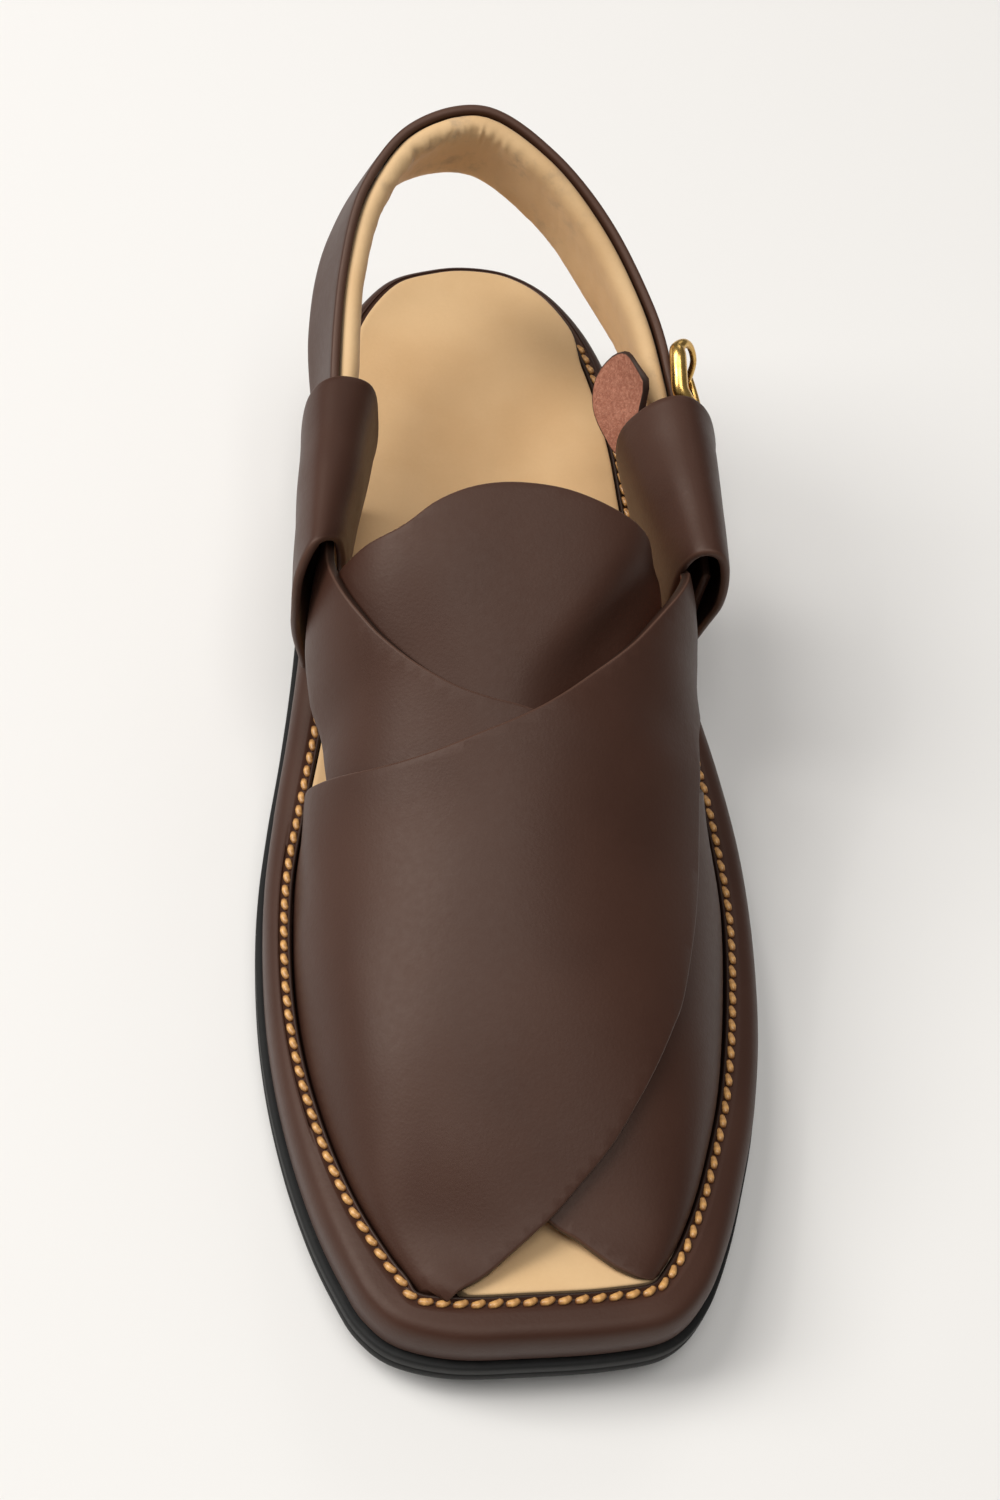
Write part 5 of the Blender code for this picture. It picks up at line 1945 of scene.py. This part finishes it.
@dataclass
class HeelStrap:
    """The brown strap round the heel and its padded tan lining."""

    kit: Kit
    per_row: int = 34
    across: int = 9  # spaces between the strap's points from edge to edge
    round_off: float = 0.8
    worn: float = 0.6
    soft: float = 0.3
    step_s: float = 0.05
    step_v: float = 0.1
    pad: float = 4.4
    pad_in_loop: float = 2.3
    # The lining's folds: where along the strap they are strongest and how far from there they reach.
    heel_s: float = 5.2
    heel_reach: float = 1.9
    short_fold: float = 0.8
    shorter_fold: float = 0.5
    long_fold: float = 0.45
    roll_v: float = 0.08
    roll_fade: float = 0.3
    # The sunk line along its lower part.
    seam_depth: float = 0.55
    seam_v: float = 0.72
    seam_half: float = 0.07
    seam_s: float = 7.6
    seam_reach: float = 3.4
    # Where it is soiled: at the back of the heel, most along the top, and beside the outer loop.
    soiled_s: float = 5.9
    soiled_reach: float = 3.0
    loop_s: float = 10.0
    loop_reach: float = 1.6
    ROWS: tuple[StrapRow, ...] = (
        StrapRow(-38.4, 27.0, 59.5, -39.2, 27.0, 39.5),
        StrapRow(-36.2, 47.0, 65.6, -36.6, 47.0, 40.0),
        StrapRow(-35.0, 65.6, 73.4, -37.4, 66.0, 46.5),
        StrapRow(-32.3, 84.7, 81.3, -38.0, 86.0, 58.0),
        StrapRow(-26.5, 101.0, 90.0, -33.4, 105.0, 68.5),
        StrapRow(-15.6, 113.0, 96.4, -20.5, 119.5, 78.4),
        StrapRow(1.0, 117.2, 98.0, 1.4, 123.6, 78.0),
        StrapRow(17.2, 109.6, 92.0, 20.0, 113.6, 69.6),
        StrapRow(29.7, 96.8, 83.1, 33.4, 99.8, 58.0),
        StrapRow(38.1, 80.7, 74.2, 43.5, 83.0, 48.0),
        StrapRow(41.8, 65.0, 67.2, 47.6, 66.0, 41.0),
        StrapRow(43.2, 51.0, 62.5, 47.6, 51.0, 39.4),
        StrapRow(44.2, 32.0, 59.4, 45.6, 32.0, 40.0),
        StrapRow(44.5, 17.5, 56.0, 43.9, 17.5, 41.0),
    )
    # The lining's cross-section: place across the strap (0 top, 1 bottom) and share of its thickness.
    PAD_SECTION: tuple[Point, ...] = (
        (0.08, 0.0), (0.035, 0.08), (0.012, 0.25), (0.006, 0.45), (0.016, 0.66), (0.042, 0.83), (0.085, 0.94),
        (0.14, 0.99), (0.21, 1.0), (0.3, 0.97), (0.4, 0.94), (0.5, 0.93), (0.6, 0.94), (0.7, 0.97),
        (0.79, 1.0), (0.86, 0.98), (0.915, 0.92), (0.955, 0.8), (0.98, 0.62), (0.985, 0.4), (0.975, 0.2),
        (0.93, 0.0), (0.65, 0.0), (0.35, 0.0),
    )

    @property
    def last(self) -> int:
        """The last row's number."""
        return len(self.ROWS) - 1

    def flat(self, s: float, v: float) -> Vector:
        """A place on the outer face.

        Args:
            s: the place along the strap, counted in rows.
            v: the place across it, from the top edge at 0 to the lower edge at 1.

        Returns:
            The place.
        """
        i = min(max(int(s), 0), self.last - 1)
        rows = [self.ROWS[min(max(i + k, 0), self.last)] for k in (-1, 0, 1, 2)]

        def at(name: str) -> float:
            """One column, read at s."""
            a, b, c, d = (getattr(row, name) for row in rows)
            return hermite(b, c, (c - a) / 2, (d - b) / 2, s - i)

        top = Vector((at("top_x"), at("top_y"), at("top_z")))
        return top.lerp(Vector((at("low_x"), at("low_y"), at("low_z"))), v)

    def normal(self, s: float, v: float) -> Vector:
        """Outward normal of the outer face."""
        ahead = self.flat(min(s + self.step_s, self.last), v) - self.flat(max(s - self.step_s, 0.0), v)
        return ahead.cross(self.flat(s, v + self.step_v) - self.flat(s, v - self.step_v)).normalized()

    def point(self, s: float, v: float, lift: float) -> Vector:
        """A place above the outer face."""
        return self.flat(s, v) + self.normal(s, v) * lift

    def build(self) -> None:
        """Makes the strap and its lining."""
        self._strap()
        self._lining()

    def _stations(self, end: int) -> list[float]:
        """Where rings are drawn along the strap, up to a row."""
        return [k / self.per_row for k in range(end * self.per_row + 1)]

    def _strap(self) -> None:
        """The brown outer layer, its edges turned and rounded."""
        half = LEATHER / 2
        section = band_section([k / self.across for k in range(self.across + 1)], self.round_off)
        rings = []
        for s in self._stations(self.last):
            tall = (self.flat(s, 1.0) - self.flat(s, 0.0)).length
            ring = []
            for v, aside, height in section:
                place = v + aside / tall
                soft = noise.noise(Vector((s * 0.9, v * 1.3, 2.0))) * self.soft
                ring.append(self.point(s, place, height - half + soft))
            rings.append(ring)
        bm = bmesh.new()
        loft(bm, rings)
        cut_and_highlight = bm.verts.layers.float.new("cut_edge_and_highlight")
        bm.verts.ensure_lookup_table()
        for n, vert in enumerate(bm.verts):
            v, _, height = section[n % len(section)]
            vert[cut_and_highlight] = self.worn if v in (0.0, 1.0) and abs(height) < half - 0.1 else 0.0
        self.kit.bench.piece("heel_strap_leather", bm, self.kit.brown, Slot.BROWN, ["heel_strap"])

    def _pad_thickness(self, s: float) -> float:
        """The lining is thin inside the loops and padded round the heel."""
        share = eased(min(s - 1.0, self.last - 2.0 - s))
        return self.pad_in_loop + (self.pad - self.pad_in_loop) * share

    def _creases(self, s: float, v: float) -> float:
        """Height of the lining's gathers: short folds across the rolled top, long soft ones inside.

        Args:
            s: the place along the strap, counted in rows.
            v: the place across it.

        Returns:
            How far the lining stands up there.
        """
        at_heel = bump_at(s, self.heel_s, self.heel_reach)
        short = noise.noise(Vector((s * 7.0, v * 6.5, 7.0)))
        shorter = noise.noise(Vector((s * 15.0, v * 12.0, 1.0)))
        across = self.short_fold * short + self.shorter_fold * shorter
        long = noise.noise(Vector((s * 1.1, v * 5.5, 3.0)))
        upper = 1 - eased((v - self.roll_v) / self.roll_fade)
        waving = self.seam_v - 0.05 * math.sin(s * 1.7)
        seam = bump_at(v, waving, self.seam_half) * bump_at(s, self.seam_s, self.seam_reach)
        folds = across * (0.1 + 0.9 * at_heel * upper) + long * self.long_fold * (1 - 0.6 * upper)
        return folds - self.seam_depth * seam

    def _lining(self) -> None:
        """The padded inner layer, rolled at the top and gathered at the heel, soiled, and darkened with
        painted shade in its folds' valleys.
        """
        rings, soil_and_shade_marks = [], []
        for s in self._stations(self.last - 1):
            thick = self._pad_thickness(s)
            ring = []
            for v, share in self.PAD_SECTION:
                crease = self._creases(s, v) * min(share * 1.6, 1.0)
                ring.append(self.point(s, v, -LEATHER - GAP - share * thick - crease))
                worn = bump_at(s, self.soiled_s, self.soiled_reach) * (0.5 + 0.5 * bump_at(v, 0.15, 0.25))
                worn += 0.6 * bump_at(s, self.loop_s, self.loop_reach)
                # the marks: soil, plus painted shade in the folds' valleys and along the sunk line
                soil_and_shade_marks.append(worn + max(-crease, 0.0) * 0.9)
            rings.append(ring)
        bm = bmesh.new()
        loft(bm, rings)
        soil_and_crease_shade = bm.verts.layers.float.new("soil_and_crease_shade")
        bm.verts.ensure_lookup_table()
        for vert, mark in zip(bm.verts, soil_and_shade_marks):
            vert[soil_and_crease_shade] = min(mark, 1.0)
        obj = self.kit.bench.piece("heel_strap_pad", bm, self.kit.lining, Slot.TAN, ["heel_strap_lining"])


@dataclass(frozen=True)
class BarPoint:
    """A point on the buckle's bent bar: its place on the strap, its height above it and its radius."""

    s: float
    v: float
    lift: float
    radius: float


@dataclass
class Buckle:
    """The fastened brass buckle beside the outer loop."""

    kit: Kit
    strap: HeelStrap
    prong: float = 1.0
    prong_lift: float = 5.2
    prong_v: float = 0.5
    prong_taper: float = 0.3
    taper_share: float = 0.4
    frame_sides: int = 16
    prong_sides: int = 14
    fine: int = 6
    FRAME: tuple[BarPoint, ...] = (
        BarPoint(9.76, -0.12, 1.6, 1.7),
        BarPoint(9.66, -0.08, 3.4, 1.1),
        BarPoint(9.62, 0.02, 5.0, 0.8),
        BarPoint(9.64, 0.18, 5.6, 0.75),
        BarPoint(9.64, 0.36, 4.6, 0.85),
        BarPoint(9.62, 0.52, 3.0, 1.1),
        BarPoint(9.62, 0.9, 2.2, 1.3),
        BarPoint(9.66, 1.05, 2.2, 1.5),
        BarPoint(9.76, 1.12, 2.2, 1.7),
        BarPoint(9.9, 1.14, 2.2, 1.8),
        BarPoint(10.38, 1.14, 2.2, 1.8),
        BarPoint(10.5, 1.11, 2.2, 1.8),
        BarPoint(10.57, 1.03, 2.1, 1.7),
        BarPoint(10.58, 0.5, 2.1, 1.7),
        BarPoint(10.57, 0.0, 2.0, 1.7),
        BarPoint(10.5, -0.1, 1.0, 1.8),
        BarPoint(10.38, -0.14, 0.2, 1.85),
        BarPoint(10.13, -0.15, 0.6, 1.85),
        BarPoint(9.9, -0.15, 1.2, 1.85),
    )
    PRONG: tuple[float, ...] = (10.72, 10.62, 10.5, 10.2, 9.9, 9.64, 9.54)

    def build(self) -> None:
        """Makes the frame and its prong."""
        at, out = self.strap.point, self.strap.normal
        corners = [(corner.s, corner.v, corner.lift, corner.radius) for corner in self.FRAME]
        bar = smooth_path(corners, True, self.fine)[:-1]
        bm = bmesh.new()
        middle = [at(s, v, lift) for s, v, lift, _ in bar]
        tube(bm, middle, [out(s, v) for s, v, _, _ in bar], [radius for *_, radius in bar],
             self.frame_sides, True)
        self.kit.bench.piece("buckle_bar", bm, self.kit.brass, Slot.BRASS, ["buckle_frame"])
        pin = smooth_path([(s, self.prong_v) for s in self.PRONG], False, self.fine)
        start = 1 - self.taper_share
        radii = []
        for i in range(len(pin)):
            share = i / (len(pin) - 1)
            radii.append(self.prong * (1.0 - self.prong_taper * eased((share - start) / self.taper_share)))
        bm = bmesh.new()
        tube(bm, [at(s, v, self.prong_lift) for s, v in pin], [out(s, v) for s, v in pin], radii,
             self.prong_sides, False)
        self.kit.bench.piece("buckle_pin", bm, self.kit.brass, Slot.BRASS, ["buckle_prong"])


# --------------------------------------------------------------------------- studio


@dataclass(frozen=True)
class SoftBox:
    """A square area light."""

    name: str
    place: Point
    aim: Point
    size: float
    power: float
    tint: Point = (1.0, 1.0, 1.0)

    def build(self) -> None:
        """Hangs the light."""
        lamp = bpy.data.lights.new(self.name, "AREA")
        lamp.shape, lamp.size, lamp.energy, lamp.color = "SQUARE", self.size, self.power, self.tint
        obj = bpy.data.objects.new(self.name, lamp)
        obj.location = self.place
        obj.rotation_euler = (Vector(self.aim) - Vector(self.place)).to_track_quat("-Z", "Y").to_euler()
        bpy.context.scene.collection.objects.link(obj)


@dataclass
class Studio:
    """Pale floor, soft light and the camera."""

    eye: Point = (-0.08063, -0.27518, 0.41755)
    target: Point = (-0.001, -0.008, 0.03)
    roll_degrees: float = 12.6
    lens: float = 53.547
    nearest: float = 0.01
    farthest: float = 20.0
    floor_size: float = 4.0
    floor_squares: int = 8
    boxes: tuple[SoftBox, ...] = (
        SoftBox("left_window", (-2.15, 0.3, 1.8), (0.0, 0.0, 0.03), 1.2, 38.0, (1.0, 0.985, 0.965)),
        SoftBox("high_window", (-1.35, 0.5, 2.5), (0.0, 0.0, 0.03), 1.1, 29.0, (1.0, 0.985, 0.965)),
        SoftBox("overhead", (0.0, -0.55, 2.85), (0.0, 0.0, 0.03), 1.5, 30.0, (1.0, 0.99, 0.975)),
        SoftBox("back_rim", (0.8, 2.0, 1.7), (0.0, 0.0, 0.03), 1.0, 4.5, (1.0, 0.99, 0.98)),
    )
    sky: Point = rgb(0.93, 0.92, 0.91)
    sky_strength: float = 0.18

    def build(self) -> None:
        """Lays the floor, hangs the lights and sets the camera."""
        bm = bmesh.new()
        squares = self.floor_squares
        bmesh.ops.create_grid(bm, x_segments=squares, y_segments=squares, size=self.floor_size / 2)
        mesh = bpy.data.meshes.new("floor")
        bm.to_mesh(mesh)
        bm.free()
        mesh.materials.append(Paper().make())
        floor = bpy.data.objects.new("floor", mesh)
        bpy.context.scene.collection.objects.link(floor)
        floor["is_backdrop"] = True
        for box in self.boxes:
            box.build()
        world = bpy.data.worlds.new("studio")
        world.use_nodes = True
        backdrop = world.node_tree.nodes["Background"]
        backdrop.inputs["Color"].default_value = self.sky
        backdrop.inputs["Strength"].default_value = self.sky_strength
        scene = bpy.context.scene
        scene.world = world
        scene.view_settings.view_transform = "Standard"
        scene.camera = self._camera()

    def _camera(self) -> bpy.types.Object:
        """The camera, aimed at the shoe and rolled about its own axis.

        Returns:
            The camera's object.
        """
        camera = bpy.data.cameras.new("camera")
        camera.lens = self.lens
        camera.clip_start, camera.clip_end = self.nearest, self.farthest
        obj = bpy.data.objects.new("camera", camera)
        obj.location = self.eye
        aim = (Vector(self.target) - Vector(self.eye)).to_track_quat("-Z", "Y")
        roll = Matrix.Rotation(math.radians(self.roll_degrees), 4, "Z")
        obj.rotation_euler = (aim.to_matrix().to_4x4() @ roll).to_euler()
        bpy.context.scene.collection.objects.link(obj)
        return obj


def main() -> tuple[Vector, Vector]:
    """Builds every piece in order.

    Returns:
        The loaded frame's lowest and highest corner.
    """
    logging.basicConfig(level=logging.INFO, format="%(name)s: %(message)s")
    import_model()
    frame_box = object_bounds()
    sole = SoleForm()
    kit = Kit(
        bench=Workbench(sole),
        sole=sole,
        panels=PanelForm(sole),
        brown=BrownLeather().make(),
        tan=TanLeather().make(),
        lining=TanLeather("tan_lining", soil_and_shade=0.4).make(),
        rubber=BlackRubber().make(),
        thread=GoldThread().make(),
        brass=Brass().make(),
    )
    SoleUnit(kit).build()
    CrossedUpper(kit).build()
    INNER_LOOP.build(kit)
    OUTER_LOOP.build(kit)
    strap = HeelStrap(kit)
    strap.build()
    Buckle(kit, strap).build()
    Studio().build()
    return frame_box


if __name__ == "__main__":
    main()
